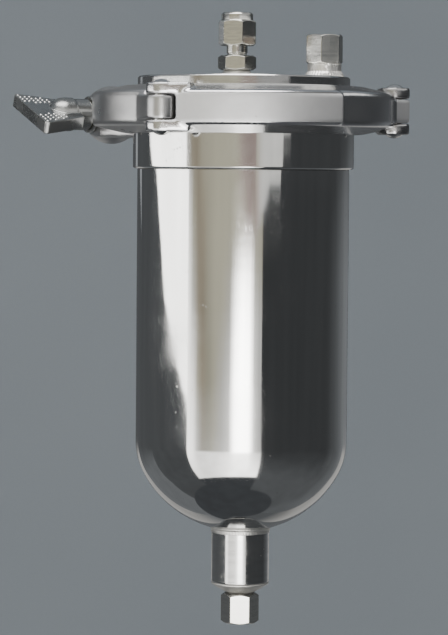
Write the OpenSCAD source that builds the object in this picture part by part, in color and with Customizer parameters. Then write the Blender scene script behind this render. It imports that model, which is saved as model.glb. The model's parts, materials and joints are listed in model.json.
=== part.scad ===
// Coalescing filter: a round bowl hung under a flat head by a three-segment hinged clamp.
// The origin is the centre of the inlet nut's top face, where the tube that carries the
// filter comes out. +Z is up and -Y is the front. All lengths are in millimetres.

/* [Head and bowl] */
// Outside diameter of the head's rim and of the bowl
bowl_od = 88.9; // [76:0.1:140]
// Wall of the bowl and of its domed end
bowl_wall = 2.6; // [1.5:0.1:5]
// Length of the bowl's straight wall below the ferrule
bowl_length = 114.2; // [60:0.1:400]
// Depth of the domed end
dome_depth = 38.4; // [32:0.1:42]
// Knuckle radius of the domed end
dome_knuckle_r = 30; // [20:0.5:34]
// How far the bowl's ferrule stands outside the bowl
ferrule_step = 1.85; // [1:0.05:3]
// Length of the ferrule below the clamped joint
ferrule_length = 24.5; // [18:0.1:60]
// Height of the head above the clamped joint
head_height = 13.9; // [11:0.1:40]
// Chamfer on the rims of the head and the ferrule
rim_chamfer = 0.6; // [0.2:0.1:1.5]

/* [Clamped flanges] */
// How far both flanges stand outside the bowl
flange_width = 8.55; // [6:0.05:12]
// Thickness of each flange at its rim
flange_rim_t = 2.85; // [2:0.05:3.4]
// Angle of each flange's back
flange_angle = 20; // [15:0.5:22]
// Thickness of the gasket
gasket_t = 1.6; // [0.8:0.1:2.5]

/* [Clamp] */
// Thickness of the clamp's band, outside its groove
band_t = 8.4; // [6:0.1:12]
// Half height of the band's outer face
band_half = 6.3; // [5.6:0.1:7]
// Half height of the clamp over its lips
lip_half = 9.9; // [9.2:0.1:11.5]
// Radius on the band's edges
band_edge_r = 1.6; // [0.5:0.1:2.5]
// Width of the flat on top of each lip
lip_flat = 2.7; // [1:0.1:4]
// Clearance between the clamp's lips and the bowl's ferrule
lip_clear = 1; // [0.4:0.1:2]
// Clearance between the flanges' rims and the bottom of the clamp's groove
groove_clear = 2; // [1:0.1:3]
// Gap between the groove and the flanges' backs
groove_gap = 0.15; // [0.05:0.05:0.4]
// How far the raised pad on the front segment stands outside the band
pad_t = 1.7; // [0.8:0.1:4]
// Half height of the raised pad
pad_half = 7.35; // [6.6:0.05:8]
// Left end of the raised pad, from the front segment's middle plane
pad_left = 27.3; // [20:0.1:30]
// Right end of the raised pad, from the front segment's middle plane
pad_right = 39.9; // [20:0.1:44]
// Corner radius of the raised pad
pad_corner_r = 3.2; // [1:0.1:5]
// Gap between two neighbouring segments at a hinge
segment_gap = 3; // [2:0.1:6]
// Gap between the two segments at the bolt
closure_gap = 7.6; // [4:0.1:12]

/* [Clamp hinges] */
// Angle of the left hinge round the filter
left_hinge_angle = -121.5; // [-140:0.5:-105]
// How far inside the band's outer face the hinge pins' axes lie
pin_inset = 0.4; // [0:0.1:2]
// Radius of a hinge pin
pin_r = 3; // [2:0.1:3.6]
// Radius of a hinge pin's domed head
pin_head_r = 3.6; // [3.2:0.1:5]
// Height of a hinge pin's domed head
pin_head_h = 1.5; // [0.8:0.1:3]
// Radius of the ears and the tabs round the hinge pins
ear_r = 6.4; // [5.4:0.1:7]
// Half height of the slot between two ears
slot_half = 5.1; // [4:0.1:6]
// Clearance of a tab in its slot and of an ear in its notch
hinge_clear = 0.3; // [0.1:0.05:0.6]
// Radial clearance of a pin in its hole
pin_clear = 0.05; // [0.02:0.01:0.1]

/* [Swing bolt and wing nut] */
// Distance of the bolt's axis from the band's outer face
bolt_stand = 11.6; // [10:0.1:16]
// Radius of the bolt's shank
bolt_r = 4; // [3:0.1:4.3]
// Distance of the bolt's axis below the clamp's middle plane
bolt_drop = 1.4; // [0:0.1:2.5]
// Length of the bolt from its pivot to its free end
bolt_length = 70.5; // [64:0.5:72]
// Distance of the bolt's pivot from the middle of the closure
pivot_back = 18; // [16:0.5:24]
// Radius of the bolt's eye
eye_r = 6.8; // [6:0.1:7.2]
// Half height of the bolt's eye
eye_half = 4.4; // [3:0.1:5]
// How far the lugs' metal stands round the bolt's eye
lug_wall = 0.4; // [0:0.1:2]
// Radius of the ball at the end of the nut's lug
ball_r = 12.7; // [10:0.1:14]
// Distance from the bolt's pivot to the ball's centre
ball_distance = 43.3; // [38:0.1:46]
// Clearance of the bolt in the slots of both lugs
lug_slot_clear = 0.5; // [0.3:0.1:1]
// Distance from the ball's centre to the nut's seat on it
seat_height = 9.7; // [7:0.1:10.5]
// Running gap between the seat and the washer
seat_gap = 0.3; // [0.2:0.05:0.6]
// Thickness of the nut's washer
washer_t = 1.6; // [1:0.1:2.5]
// Radius of the nut's washer
washer_r = 8; // [7.4:0.1:9]
// Length of the wing nut
nut_length = 28; // [26:0.1:40]
// Length of the wing nut's plain collar
collar_length = 7.6; // [4:0.1:12]
// Radius of the wing nut's plain collar
collar_r = 6.8; // [5.8:0.1:7.6]
// Radius of the wing nut's domed hub
hub_r = 7.3; // [7:0.1:10]
// Length of the hub between its shoulder and its dome
hub_length = 4; // [3.5:0.1:8]
// Room beyond the bolt's end inside the nut
nut_room = 1; // [0.5:0.1:2]
// Span over the two wings at the nut's outer end
wing_span = 37.5; // [28:0.5:44]
// Span over the two wings at the collar
wing_root_span = 22; // [18:0.5:30]
// Thickness of the wings
wing_t = 5.5; // [3:0.1:7]
// Corner radius of the wings
wing_corner_r = 1.6; // [0.5:0.1:3]
// Angle that the wings stand at, from level
wing_angle = 20; // [0:1:90]

/* [Fittings] */
// Width across the flats of the nuts and hexagons
hex_af = 14; // [13:0.1:16]
// Radius of the tube that the fittings take
tube_r = 3.05; // [2.5:0.05:3.2]
// Height of a tube nut's hexagon
nut_hex_h = 10.7; // [8:0.1:16]
// Height of the round shoulder on the inlet nut
nut_shoulder_h = 3.2; // [2:0.1:5]
// Radius of the round shoulder on the inlet nut
nut_shoulder_r = 6.6; // [6:0.1:7]
// Height of the outlet and drain nuts
short_nut_h = 12.4; // [11:0.1:16]
// Radius of the fittings' thread
thread_r = 5; // [4.6:0.05:5.4]
// Radius of the neck under the inlet nut
neck_r = 4.4; // [4:0.1:4.6]
// Length of the neck under the inlet nut
neck_h = 4; // [2:0.1:8]
// Height of the inlet body's hexagon
body_hex_h = 6.1; // [4:0.1:10]
// Height of the inlet's weld boss
inlet_boss_h = 2.9; // [2:0.1:8]
// Radius of the inlet's weld boss
inlet_boss_r = 6.3; // [5.5:0.1:8]
// Distance of the inlet from the filter's axis, to the left
inlet_offset = 3; // [0:0.1:8]
// Distance of the outlet's axis in from the head's rim
outlet_inset = 10.85; // [9.5:0.05:16]
// Height of the outlet's weld ring
outlet_ring_h = 2.7; // [1.5:0.1:5]
// Radius of the outlet's weld ring
outlet_ring_r = 8.2; // [7.4:0.1:9]
// Height of the outlet's body between its weld ring and its nut
outlet_body_h = 2.9; // [2:0.1:8]
// Radius of the outlet's body
outlet_body_r = 7.1; // [6:0.1:7.2]
// Radius of the gas passages in the head and the fittings
passage_r = 2.2; // [1.5:0.1:2.3]
// Length of a fitting's thread inside its nut
thread_length = 6.5; // [4:0.1:7]
// Radial gap of a fitting's thread in its nut
thread_clear = 0.05; // [0.02:0.01:0.1]
// Length of a fitting's gripping ring
ring_length = 2.6; // [1.5:0.1:3]
// Depth of the tube's seat in a fitting's body
tube_seat = 1.5; // [0.5:0.1:3]
// Angle that the inlet nut is turned to
inlet_nut_turn = -14.5; // [-30:0.5:30]
// Angle that the inlet body's hexagon is turned to
inlet_body_turn = -5.5; // [-30:0.5:30]
// Angle that the outlet nut is turned to
outlet_nut_turn = 18; // [-30:0.1:30]

/* [Drain] */
// Outside radius of the drain nipple
nipple_r = 12.2; // [10.5:0.1:16]
// Wall of the drain nipple
nipple_wall = 2.4; // [1.5:0.1:3]
// Length of the drain nipple below the dome's lowest point
nipple_length = 21.6; // [10:0.1:40]
// Width of the weld round the top of the nipple
nipple_weld = 0.8; // [0.6:0.1:2.5]
// Height of the cone under the nipple
drain_cone_h = 4.4; // [3:0.1:10]
// Length of the bare neck above the drain nut
drain_neck_h = 0.6; // [0.3:0.1:4]

/* [Hidden] */
$fn = 96;

overlap = 0.01; // how far a cut or a joined piece runs past a face
bowl_r = bowl_od / 2;
ferrule_r = bowl_r + ferrule_step;
flange_r = bowl_r + flange_width;
hex_r = hex_af / sqrt(3);
outlet_offset = bowl_r - outlet_inset;

// Radii of the clamp.
lip_r = ferrule_r + lip_clear;
groove_r = flange_r + groove_clear;
band_r = groove_r + band_t;
pad_r = band_r + pad_t;
pin_circle_r = band_r - pin_inset;
bolt_offset = band_r + bolt_stand;
seat_distance = ball_distance + seat_height;
nut_distance = seat_distance + seat_gap + washer_t + 2 * pin_clear;
foot_r = groove_r + (band_r - groove_r) / 4; // inner end of the ears, tabs and lugs
ear_half = lip_half - 0.1;                   // ears and lugs end just inside the lips

// Heights in the head's own frame, where the head's top face is at 0.
joint_z = -head_height;
ferrule_bottom_z = joint_z - ferrule_length;
dome_z = ferrule_bottom_z - bowl_length;
dome_bottom_z = dome_z - dome_depth;
nipple_bottom_z = dome_bottom_z - nipple_length;
drain_nut_z = nipple_bottom_z - drain_cone_h - drain_neck_h;
inlet_neck_z = inlet_boss_h + body_hex_h;
inlet_nut_z = inlet_neck_z + neck_h;
inlet_top_z = inlet_nut_z + nut_hex_h + nut_shoulder_h;
outlet_nut_z = outlet_ring_h + outlet_body_h;

// The domed end: a knuckle arc that runs on into a crown arc.
crown_r = (pow(bowl_r - dome_knuckle_r, 2) + pow(dome_depth, 2) - pow(dome_knuckle_r, 2))
    / (2 * (dome_depth - dome_knuckle_r));
crown_z = crown_r - dome_depth;
crown_angle = atan2(bowl_r - dome_knuckle_r, crown_z);

// Angles round the filter's axis.
segment_angle = 120;
right_hinge_angle = left_hinge_angle + segment_angle;
closure_angle = right_hinge_angle + segment_angle;
hinge_half_angle = asin(segment_gap / 2 / groove_r);
closure_half_angle = asin(closure_gap / 2 / groove_r);

satin = [0.74, 0.74, 0.73];
polished = [0.82, 0.82, 0.81];
machined = [0.70, 0.70, 0.69];
gasket_white = [0.90, 0.90, 0.87];

// ---------------------------------------------------------------- shared shapes

// Half height of the clamped flange pair at radius r.
function flange_half(r) = gasket_t / 2 + flange_rim_t + (flange_r - r) * tan(flange_angle);

// Points of an arc, from angle a0 to angle a1 in n steps.
function arc(centre, r, a0, a1, n) =
    [for (i = [0 : n]) centre + r * [cos(a0 + (a1 - a0) * i / n), sin(a0 + (a1 - a0) * i / n)]];

// Angle of the point where a line from p touches a circle of radius r round the origin.
function touch_angle(p, r, side) = atan2(p[1], p[0]) - side * acos(r / norm(p));

// Puts children in the head's frame: the head's top face at 0, the filter's axis on Z.
module from_head() {
    translate([inlet_offset, 0, -inlet_top_z]) children();
}

// Puts children in the clamp's frame, turned so that +X points out at the angle.
module from_joint(angle) {
    from_head() translate([0, 0, joint_z]) rotate([0, 0, angle]) children();
}

// A hexagon with both ends chamfered to a circle.
module chamfered_hex(h, turn) {
    face_r = hex_af / 2 * 0.96;
    outer_r = hex_r + overlap;
    cut = (outer_r - face_r) * tan(35);
    intersection() {
        rotate([0, 0, turn]) cylinder(r = hex_r, h = h, $fn = 6);
        rotate_extrude()
            polygon([[0, 0], [face_r, 0], [outer_r, cut], [outer_r, h - cut], [face_r, h],
                     [0, h]]);
    }
}

// The gripping ring inside a tube nut: a cone round the tube, its small end at the bottom.
module tube_ring() {
    ring_r = tube_r + (thread_r - tube_r) * 0.8;
    rotate_extrude()
        polygon([[tube_r, 0], [tube_r + (ring_r - tube_r) / 3, 0], [ring_r, ring_length * 0.8],
                 [ring_r, ring_length], [tube_r, ring_length]]);
}

// The hollow inside a tube nut: its thread, a room for the ring, and the tube's hole.
module nut_hollow(h) {
    room = thread_length + ring_length + 4 * thread_clear;
    translate([0, 0, -overlap])
        cylinder(r = thread_r + thread_clear, h = room + overlap);
    cylinder(r = tube_r, h = h + overlap);
}

// A pin with a domed head at both ends, centred on its middle.
module domed_pin(half) {
    cap_r = (pow(pin_head_r, 2) + pow(pin_head_h, 2)) / (2 * pin_head_h);
    cylinder(r = pin_r, h = 2 * half + 2 * overlap, center = true);
    for (side = [0, 1]) mirror([0, 0, side]) translate([0, 0, half])
        intersection() {
            translate([0, 0, pin_head_h - cap_r]) sphere(r = cap_r);
            cylinder(r = pin_head_r, h = pin_head_h);
        }
}

// ---------------------------------------------------------------- head and bowl

module head() {
    color(satin) from_head() difference() {
        rotate_extrude()
            polygon([[0, 0], [bowl_r - rim_chamfer, 0], [bowl_r, -rim_chamfer],
                     [bowl_r, joint_z + flange_half(bowl_r)],
                     [flange_r, joint_z + flange_half(flange_r)],
                     [flange_r, joint_z + gasket_t / 2], [0, joint_z + gasket_t / 2]]);
        for (x = [-inlet_offset, outlet_offset])
            translate([x, 0, joint_z]) cylinder(r = passage_r, h = 2 * head_height);
    }
}

module gasket() {
    color(gasket_white) from_joint(0) difference() {
        cylinder(r = flange_r - gasket_t / 4, h = gasket_t, center = true);
        cylinder(r = bowl_r - bowl_wall, h = 2 * gasket_t, center = true);
    }
}

module bowl_ferrule() {
    inner_r = bowl_r - bowl_wall;
    color(polished) from_head() rotate_extrude()
        polygon([[inner_r, joint_z - gasket_t / 2], [flange_r, joint_z - gasket_t / 2],
                 [flange_r, joint_z - flange_half(flange_r)],
                 [ferrule_r, joint_z - flange_half(ferrule_r)],
                 [ferrule_r, ferrule_bottom_z + rim_chamfer],
                 [ferrule_r - rim_chamfer, ferrule_bottom_z], [inner_r, ferrule_bottom_z]]);
}

module bowl_shell() {
    color(polished) from_head() translate([0, 0, dome_z]) difference() {
        cylinder(r = bowl_r, h = bowl_length);
        translate([0, 0, -overlap])
            cylinder(r = bowl_r - bowl_wall, h = bowl_length + 2 * overlap);
    }
}

// The solid inside the domed end's outer surface, drawn in by inset.
module dome_solid(inset) {
    knuckle_depth = (dome_knuckle_r - inset) * cos(crown_angle);
    rotate_extrude() {
        intersection() {
            translate([bowl_r - dome_knuckle_r, 0]) circle(r = dome_knuckle_r - inset);
            translate([0, -knuckle_depth]) square([bowl_r, knuckle_depth]);
        }
        intersection() {
            translate([0, crown_z]) circle(r = crown_r - inset);
            translate([0, -dome_depth]) square([bowl_r, dome_depth - knuckle_depth]);
        }
    }
}

module bowl_dome() {
    color(polished) from_head() difference() {
        translate([0, 0, dome_z]) dome_solid(0);
        translate([0, 0, dome_z + overlap]) dome_solid(bowl_wall);
        translate([0, 0, dome_bottom_z - overlap])
            cylinder(r = nipple_r - nipple_wall, h = dome_depth);
    }
}

// ---------------------------------------------------------------- drain

// The ball that the domed end's crown is part of.
module crown_ball() {
    translate([0, 0, dome_z + crown_z]) sphere(r = crown_r, $fn = 240);
}

module drain_weld() {
    color(satin) from_head() difference() {
        translate([0, 0, dome_bottom_z - nipple_weld / 2])
            cylinder(r1 = nipple_r + nipple_weld / 2, r2 = nipple_r + nipple_weld,
                h = 4 * nipple_weld);
        crown_ball();
        translate([0, 0, nipple_bottom_z])
            cylinder(r = nipple_r, h = nipple_length + dome_depth);
    }
}

module drain_nipple() {
    color(polished) from_head() difference() {
        translate([0, 0, nipple_bottom_z]) cylinder(r = nipple_r, h = nipple_length + dome_depth / 2);
        translate([0, 0, nipple_bottom_z - overlap])
            cylinder(r = nipple_r - nipple_wall, h = nipple_length + dome_depth);
        crown_ball();
    }
}

// A cone that closes the nipple, with the threaded spigot for the drain nut below it.
module drain_body() {
    spigot_bottom = drain_nut_z - thread_length;
    cone_r = (thread_r + hex_af / 2) / 2;
    color(satin) from_head() difference() {
        rotate_extrude()
            polygon([[0, nipple_bottom_z], [nipple_r, nipple_bottom_z],
                     [nipple_r, nipple_bottom_z - drain_cone_h / 6],
                     [cone_r, nipple_bottom_z - drain_cone_h],
                     [neck_r, nipple_bottom_z - drain_cone_h], [neck_r, drain_nut_z],
                     [thread_r, drain_nut_z], [thread_r, spigot_bottom], [0, spigot_bottom]]);
        translate([0, 0, spigot_bottom - overlap])
            cylinder(r = tube_r, h = thread_length + tube_seat + overlap);
        translate([0, 0, spigot_bottom])
            cylinder(r = passage_r, h = nipple_bottom_z - spigot_bottom + overlap);
    }
}

module drain_nut() {
    color(machined) from_head() translate([0, 0, drain_nut_z]) mirror([0, 0, 1])
        difference() {
            chamfered_hex(short_nut_h, 0);
            nut_hollow(short_nut_h);
        }
}

module drain_tube_ring() {
    color(machined) from_head()
        translate([0, 0, drain_nut_z - thread_length - 2 * thread_clear])
            mirror([0, 0, 1]) tube_ring();
}

// ---------------------------------------------------------------- inlet fitting

module from_inlet() {
    from_head() translate([-inlet_offset, 0, 0]) children();
}

module inlet_boss() {
    color(satin) from_inlet() difference() {
        rotate_extrude()
            polygon([[0, 0], [inlet_boss_r, 0], [inlet_boss_r, inlet_boss_h * 0.3],
                     [inlet_boss_r * 0.96, inlet_boss_h * 0.6],
                     [inlet_boss_r * 0.86, inlet_boss_h], [0, inlet_boss_h]]);
        translate([0, 0, -overlap]) cylinder(r = passage_r, h = inlet_boss_h + 2 * overlap);
    }
}

module inlet_body() {
    color(machined) from_inlet() difference() {
        union() {
            translate([0, 0, inlet_boss_h]) chamfered_hex(body_hex_h, inlet_body_turn);
            translate([0, 0, inlet_neck_z - overlap])
                cylinder(r = neck_r, h = neck_h + 2 * overlap);
            translate([0, 0, inlet_nut_z]) cylinder(r = thread_r, h = thread_length);
        }
        translate([0, 0, inlet_nut_z - tube_seat])
            cylinder(r = tube_r, h = tube_seat + thread_length + overlap);
        translate([0, 0, inlet_boss_h - overlap])
            cylinder(r = passage_r, h = body_hex_h + neck_h + thread_length);
    }
}

module inlet_nut() {
    total = nut_hex_h + nut_shoulder_h;
    color(machined) from_inlet() translate([0, 0, inlet_nut_z]) difference() {
        union() {
            chamfered_hex(nut_hex_h, inlet_nut_turn);
            rotate_extrude()
                polygon([[0, nut_hex_h - overlap], [nut_shoulder_r, nut_hex_h - overlap],
                         [nut_shoulder_r, total - nut_shoulder_h / 4],
                         [nut_shoulder_r - nut_shoulder_h / 4, total], [0, total]]);
        }
        nut_hollow(total);
    }
}

module inlet_tube_ring() {
    color(machined) from_inlet()
        translate([0, 0, inlet_nut_z + thread_length + 2 * thread_clear]) tube_ring();
}

// ---------------------------------------------------------------- outlet fitting

module from_outlet() {
    from_head() translate([outlet_offset, 0, 0]) children();
}

module outlet_weld() {
    color(satin) from_outlet() difference() {
        rotate_extrude()
            polygon([[0, 0], [outlet_ring_r, 0], [outlet_ring_r, outlet_ring_h * 0.4],
                     [outlet_body_r, outlet_ring_h], [0, outlet_ring_h]]);
        translate([0, 0, -overlap]) cylinder(r = passage_r, h = outlet_ring_h + 2 * overlap);
    }
}

module outlet_body() {
    color(satin) from_outlet() difference() {
        union() {
            translate([0, 0, outlet_ring_h]) cylinder(r = outlet_body_r, h = outlet_body_h);
            translate([0, 0, outlet_nut_z - overlap])
                cylinder(r = thread_r, h = thread_length + overlap);
        }
        translate([0, 0, outlet_nut_z - tube_seat])
            cylinder(r = tube_r, h = tube_seat + thread_length + overlap);
        translate([0, 0, outlet_ring_h - overlap])
            cylinder(r = passage_r, h = outlet_body_h + thread_length);
    }
}

module outlet_nut() {
    color(machined) from_outlet() translate([0, 0, outlet_nut_z]) difference() {
        chamfered_hex(short_nut_h, outlet_nut_turn);
        nut_hollow(short_nut_h);
    }
}

module outlet_tube_ring() {
    color(machined) from_outlet()
        translate([0, 0, outlet_nut_z + thread_length + 2 * thread_clear]) tube_ring();
}

// ---------------------------------------------------------------- clamp

// The clamp's cross-section: an outer band with two sloping flanks, and the V groove inside.
module clamp_section() {
    shoulder = [band_r - band_edge_r, band_half + band_edge_r * 0.6];
    lip_out = [lip_r + lip_flat, lip_half];
    edge = [band_r - band_edge_r * 0.29, band_half + band_edge_r * 0.3];
    upper = [[band_r, band_half - band_edge_r * 0.3], edge, shoulder, lip_out,
             [lip_r, lip_half], [lip_r, flange_half(lip_r) + groove_gap],
             [groove_r, flange_half(groove_r) + groove_gap]];
    lower = [for (i = [len(upper) - 1 : -1 : 0]) [upper[i][0], -upper[i][1]]];
    polygon(concat(upper, lower));
}

// The clamp's section swept from one angle to another round the filter.
module channel(from, to) {
    rotate([0, 0, from]) rotate_extrude(angle = to - from) clamp_section();
}

// Plan of an ear or a tab round a hinge pin: round about the pin, and blended into the
// band on the side that is given, +1 towards greater angles.
module knuckle_plan(side) {
    reach = 2 * ear_r / band_r * 180 / PI;
    outer_r = band_r - overlap;
    outer = [outer_r * cos(reach) - pin_circle_r, outer_r * sin(reach)];
    inner = [foot_r * cos(reach) - pin_circle_r, foot_r * sin(reach)];
    touch = touch_angle(outer, ear_r, 1);
    mirror([0, (1 - side) / 2, 0]) {
        circle(r = ear_r);
        polygon([[0, 0], ear_r * [cos(touch), sin(touch)], outer, inner,
                 [foot_r - pin_circle_r, 0]]);
    }
}

// Moves children to the hinge pin at the angle.
module at_pin(angle) {
    rotate([0, 0, angle]) translate([pin_circle_r, 0, 0]) children();
}

module pin_hole() {
    cylinder(r = pin_r + pin_clear, h = 4 * lip_half, center = true);
}

// The two ears of a segment that starts at the angle.
module fork(angle) {
    at_pin(angle) for (side = [0, 1]) mirror([0, 0, side])
        translate([0, 0, slot_half]) linear_extrude(ear_half - slot_half) knuckle_plan(1);
}

// The room for the neighbour's tab between two ears.
module fork_slot(angle) {
    at_pin(angle) cylinder(r = ear_r + 3 * hinge_clear, h = 2 * slot_half, center = true);
}

// The tab of a segment that ends at the angle.
module tab(angle) {
    at_pin(angle) linear_extrude(2 * (slot_half - hinge_clear), center = true)
        knuckle_plan(-1);
}

// The room for the neighbour's two ears beside a tab.
module ear_notches(angle) {
    notch_from = slot_half - hinge_clear;
    at_pin(angle) for (side = [0, 1]) mirror([0, 0, side])
        translate([0, 0, notch_from])
            cylinder(r = ear_r + 4 * hinge_clear, h = 2 * lip_half);
}

// The raised pad on the front segment's band, with rounded corners.
module raised_pad() {
    inner = (groove_r + band_r) / 2;
    upper = [[pad_r, pad_half - pad_t * 1.1], [pad_r - pad_t * 0.3, pad_half - pad_t * 0.45],
             [band_r - pad_t / 3, pad_half], [inner, pad_half]];
    lower = [for (i = [len(upper) - 1 : -1 : 0]) [upper[i][0], -upper[i][1]]];
    intersection() {
        rotate([0, 0, -180]) rotate_extrude(angle = 180) polygon(concat(upper, lower));
        rotate([90, 0, 0]) linear_extrude(2 * band_r) pad_outline();
    }
}

// The raised pad's outline, seen from the front.
module pad_outline() {
    c = pad_corner_r;
    translate([-pad_left, -pad_half]) square([pad_left + pad_right - c, 2 * pad_half]);
    translate([pad_right - 2 * c, -pad_half + c]) square([2 * c, 2 * (pad_half - c)]);
    for (z = [-1, 1]) translate([pad_right - c, z * (pad_half - c)]) circle(r = c);
}

module clamp_front_segment() {
    color(satin) from_joint(0) difference() {
        union() {
            difference() {
                union() {
                    channel(left_hinge_angle + hinge_half_angle,
                        right_hinge_angle - hinge_half_angle);
                    raised_pad();
                }
                ear_notches(right_hinge_angle);
            }
            fork(left_hinge_angle);
            tab(right_hinge_angle);
        }
        fork_slot(left_hinge_angle);
        at_pin(left_hinge_angle) pin_hole();
        at_pin(right_hinge_angle) pin_hole();
    }
}

// Plan of the lug that holds the bolt's pivot, in the closure's frame.
module pivot_lug_plan() {
    near = [bolt_offset - eye_r + lug_slot_clear, -closure_gap / 2];
    pivot = [bolt_offset, -pivot_back];
    lug_r = eye_r + lug_wall;
    far_angle = -asin((pivot_back + 1.7 * lug_r) / band_r);
    far = (band_r - overlap) * [cos(far_angle), sin(far_angle)];
    touch_r = lug_r - overlap;
    near_touch = touch_angle(near - pivot, touch_r, 1);
    far_touch = touch_angle(far - pivot, touch_r, -1);
    translate(pivot) circle(r = lug_r);
    polygon([[foot_r * cos(closure_half_angle), -closure_gap / 2], near,
             pivot + touch_r * [cos(near_touch), sin(near_touch)], pivot,
             pivot + touch_r * [cos(far_touch), sin(far_touch)], far,
             foot_r * [cos(far_angle), sin(far_angle)]]);
}

// Moves children down from the clamp's middle plane to the bolt's, in the closure's frame.
module at_bolt_height() {
    rotate([0, 0, closure_angle]) translate([0, 0, -bolt_drop]) children();
}

module clamp_right_segment() {
    slot = 2 * (eye_half + hinge_clear);
    color(satin) from_joint(0) difference() {
        union() {
            channel(right_hinge_angle + hinge_half_angle, closure_angle - closure_half_angle);
            fork(right_hinge_angle);
            at_bolt_height() linear_extrude(2 * ear_half, center = true) pivot_lug_plan();
        }
        fork_slot(right_hinge_angle);
        at_pin(right_hinge_angle) pin_hole();
        at_bolt_height() {
            translate([bolt_offset - eye_r - 2 * lug_slot_clear, -2 * pivot_back, -slot / 2])
                cube([4 * eye_r, 3 * pivot_back, slot]);
            translate([bolt_offset, -pivot_back, 0]) pin_hole();
        }
    }
}

// Plan of the arm from the band to the ball that the wing nut bears on.
module seat_arm_plan() {
    arm_r = ball_r * 0.55;
    near = [bolt_offset - 2 * arm_r, closure_gap / 2];
    ball = [bolt_offset, ball_distance - pivot_back];
    far_angle = asin((ball[1] + arm_r) / band_r) + ball_r / band_r * 40;
    far = (band_r - overlap) * [cos(far_angle), sin(far_angle)];
    near_touch = touch_angle(near - ball, arm_r, -1);
    far_touch = touch_angle(far - ball, arm_r, 1);
    polygon([[foot_r * cos(closure_half_angle), closure_gap / 2], near,
             ball + arm_r * [cos(near_touch), sin(near_touch)], ball,
             ball + arm_r * [cos(far_touch), sin(far_touch)], far,
             foot_r * [cos(far_angle), sin(far_angle)]]);
}

// The nut's seat is part of a cylinder round the bolt's pivot, so the nut swings off it freely.
module seat_lug() {
    intersection() {
        union() {
            linear_extrude(2 * ear_half, center = true) seat_arm_plan();
            translate([bolt_offset, ball_distance - pivot_back, 0]) sphere(r = ball_r);
        }
        translate([bolt_offset, -pivot_back, 0])
            cylinder(r = seat_distance, h = 3 * ball_r, center = true);
    }
}

module clamp_left_segment() {
    slot = 2 * (bolt_r + lug_slot_clear);
    color(satin) from_joint(0) difference() {
        union() {
            difference() {
                channel(closure_angle + closure_half_angle,
                    left_hinge_angle + 360 - hinge_half_angle);
                ear_notches(left_hinge_angle);
            }
            at_bolt_height() seat_lug();
            tab(left_hinge_angle);
        }
        at_pin(left_hinge_angle) pin_hole();
        at_bolt_height() translate([bolt_offset - bolt_r - 3 * lug_slot_clear, 0, -slot / 2])
            cube([bolt_r + 2 * ball_r, 2 * seat_distance, slot]);
    }
}

module left_hinge_pin() {
    color(polished) from_joint(left_hinge_angle) translate([pin_circle_r, 0, 0])
        domed_pin(ear_half);
}

module right_hinge_pin() {
    color(polished) from_joint(right_hinge_angle) translate([pin_circle_r, 0, 0])
        domed_pin(ear_half);
}

module bolt_pivot_pin() {
    color(polished) on_bolt(0) rotate([90, 0, 0]) domed_pin(ear_half);
}

// ---------------------------------------------------------------- swing bolt and wing nut

// Puts children on the bolt's axis, along +Z, at a distance from the bolt's pivot.
module on_bolt(distance) {
    from_joint(closure_angle) translate([bolt_offset, distance - pivot_back, -bolt_drop])
        rotate([-90, 0, 0]) children();
}

module swing_bolt() {
    tip = bolt_r * 0.3;
    color(machined) difference() {
        union() {
            on_bolt(0) cylinder(r = bolt_r, h = bolt_length - tip);
            on_bolt(bolt_length - tip - overlap)
                cylinder(r1 = bolt_r, r2 = bolt_r - tip, h = tip + overlap);
            on_bolt(0) rotate([90, 0, 0]) cylinder(r = eye_r, h = 2 * eye_half, center = true);
        }
        on_bolt(0) rotate([90, 0, 0]) pin_hole();
    }
}

module nut_washer() {
    color(machined) on_bolt(seat_distance + seat_gap) difference() {
        cylinder(r = washer_r, h = washer_t);
        translate([0, 0, -overlap])
            cylinder(r = bolt_r + pin_clear, h = washer_t + 2 * overlap);
    }
}

// One wing's outline, from the nut's axis to the wing's edge, with its corners rounded.
module wing_outline() {
    c = wing_corner_r;
    root = [wing_root_span / 2 - c, collar_length];
    tip = [wing_span / 2 - c, nut_length - c];
    lean = atan2(tip[0] - root[0], tip[1] - root[1]);
    polygon(concat([[0, collar_length - c]], arc(root, c, -90, -lean, 5),
                   arc(tip, c, -lean, 90, 5), [[0, nut_length]]));
}

module wing_nut() {
    step = hub_r - collar_r;
    color(polished) on_bolt(nut_distance) rotate([0, 0, -wing_angle]) difference() {
        union() {
            rotate_extrude()
                polygon([[0, 0], [collar_r - step / 2, 0], [collar_r, step / 2],
                         [collar_r, collar_length], [hub_r - step / 3, collar_length],
                         [hub_r, collar_length + step / 3],
                         [hub_r, collar_length + hub_length], [0, collar_length + hub_length]]);
            translate([0, 0, collar_length + hub_length]) sphere(r = hub_r);
            for (side = [0, 1]) mirror([side, 0, 0])
                rotate([90, 0, 0]) linear_extrude(wing_t, center = true) wing_outline();
        }
        translate([0, 0, -overlap])
            cylinder(r = bolt_r + pin_clear, h = bolt_length - nut_distance + nut_room);
    }
}

head();
gasket();
bowl_ferrule();
bowl_shell();
bowl_dome();
drain_weld();
drain_nipple();
drain_body();
drain_nut();
drain_tube_ring();
inlet_boss();
inlet_body();
inlet_nut();
inlet_tube_ring();
outlet_weld();
outlet_body();
outlet_nut();
outlet_tube_ring();
clamp_front_segment();
clamp_left_segment();
clamp_right_segment();
left_hinge_pin();
right_hinge_pin();
bolt_pivot_pin();
swing_bolt();
nut_washer();
wing_nut();
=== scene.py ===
"""Builds the looks of a coalescing filter on its CAD frame: a polished bowl under a flat head,
held by a cast three-segment clamp with a swing bolt and a wing nut."""

import json
import math

import bpy
import bmesh
from bpy.props import FloatProperty, IntProperty, PointerProperty
from mathutils import Matrix, Vector, noise


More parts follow.
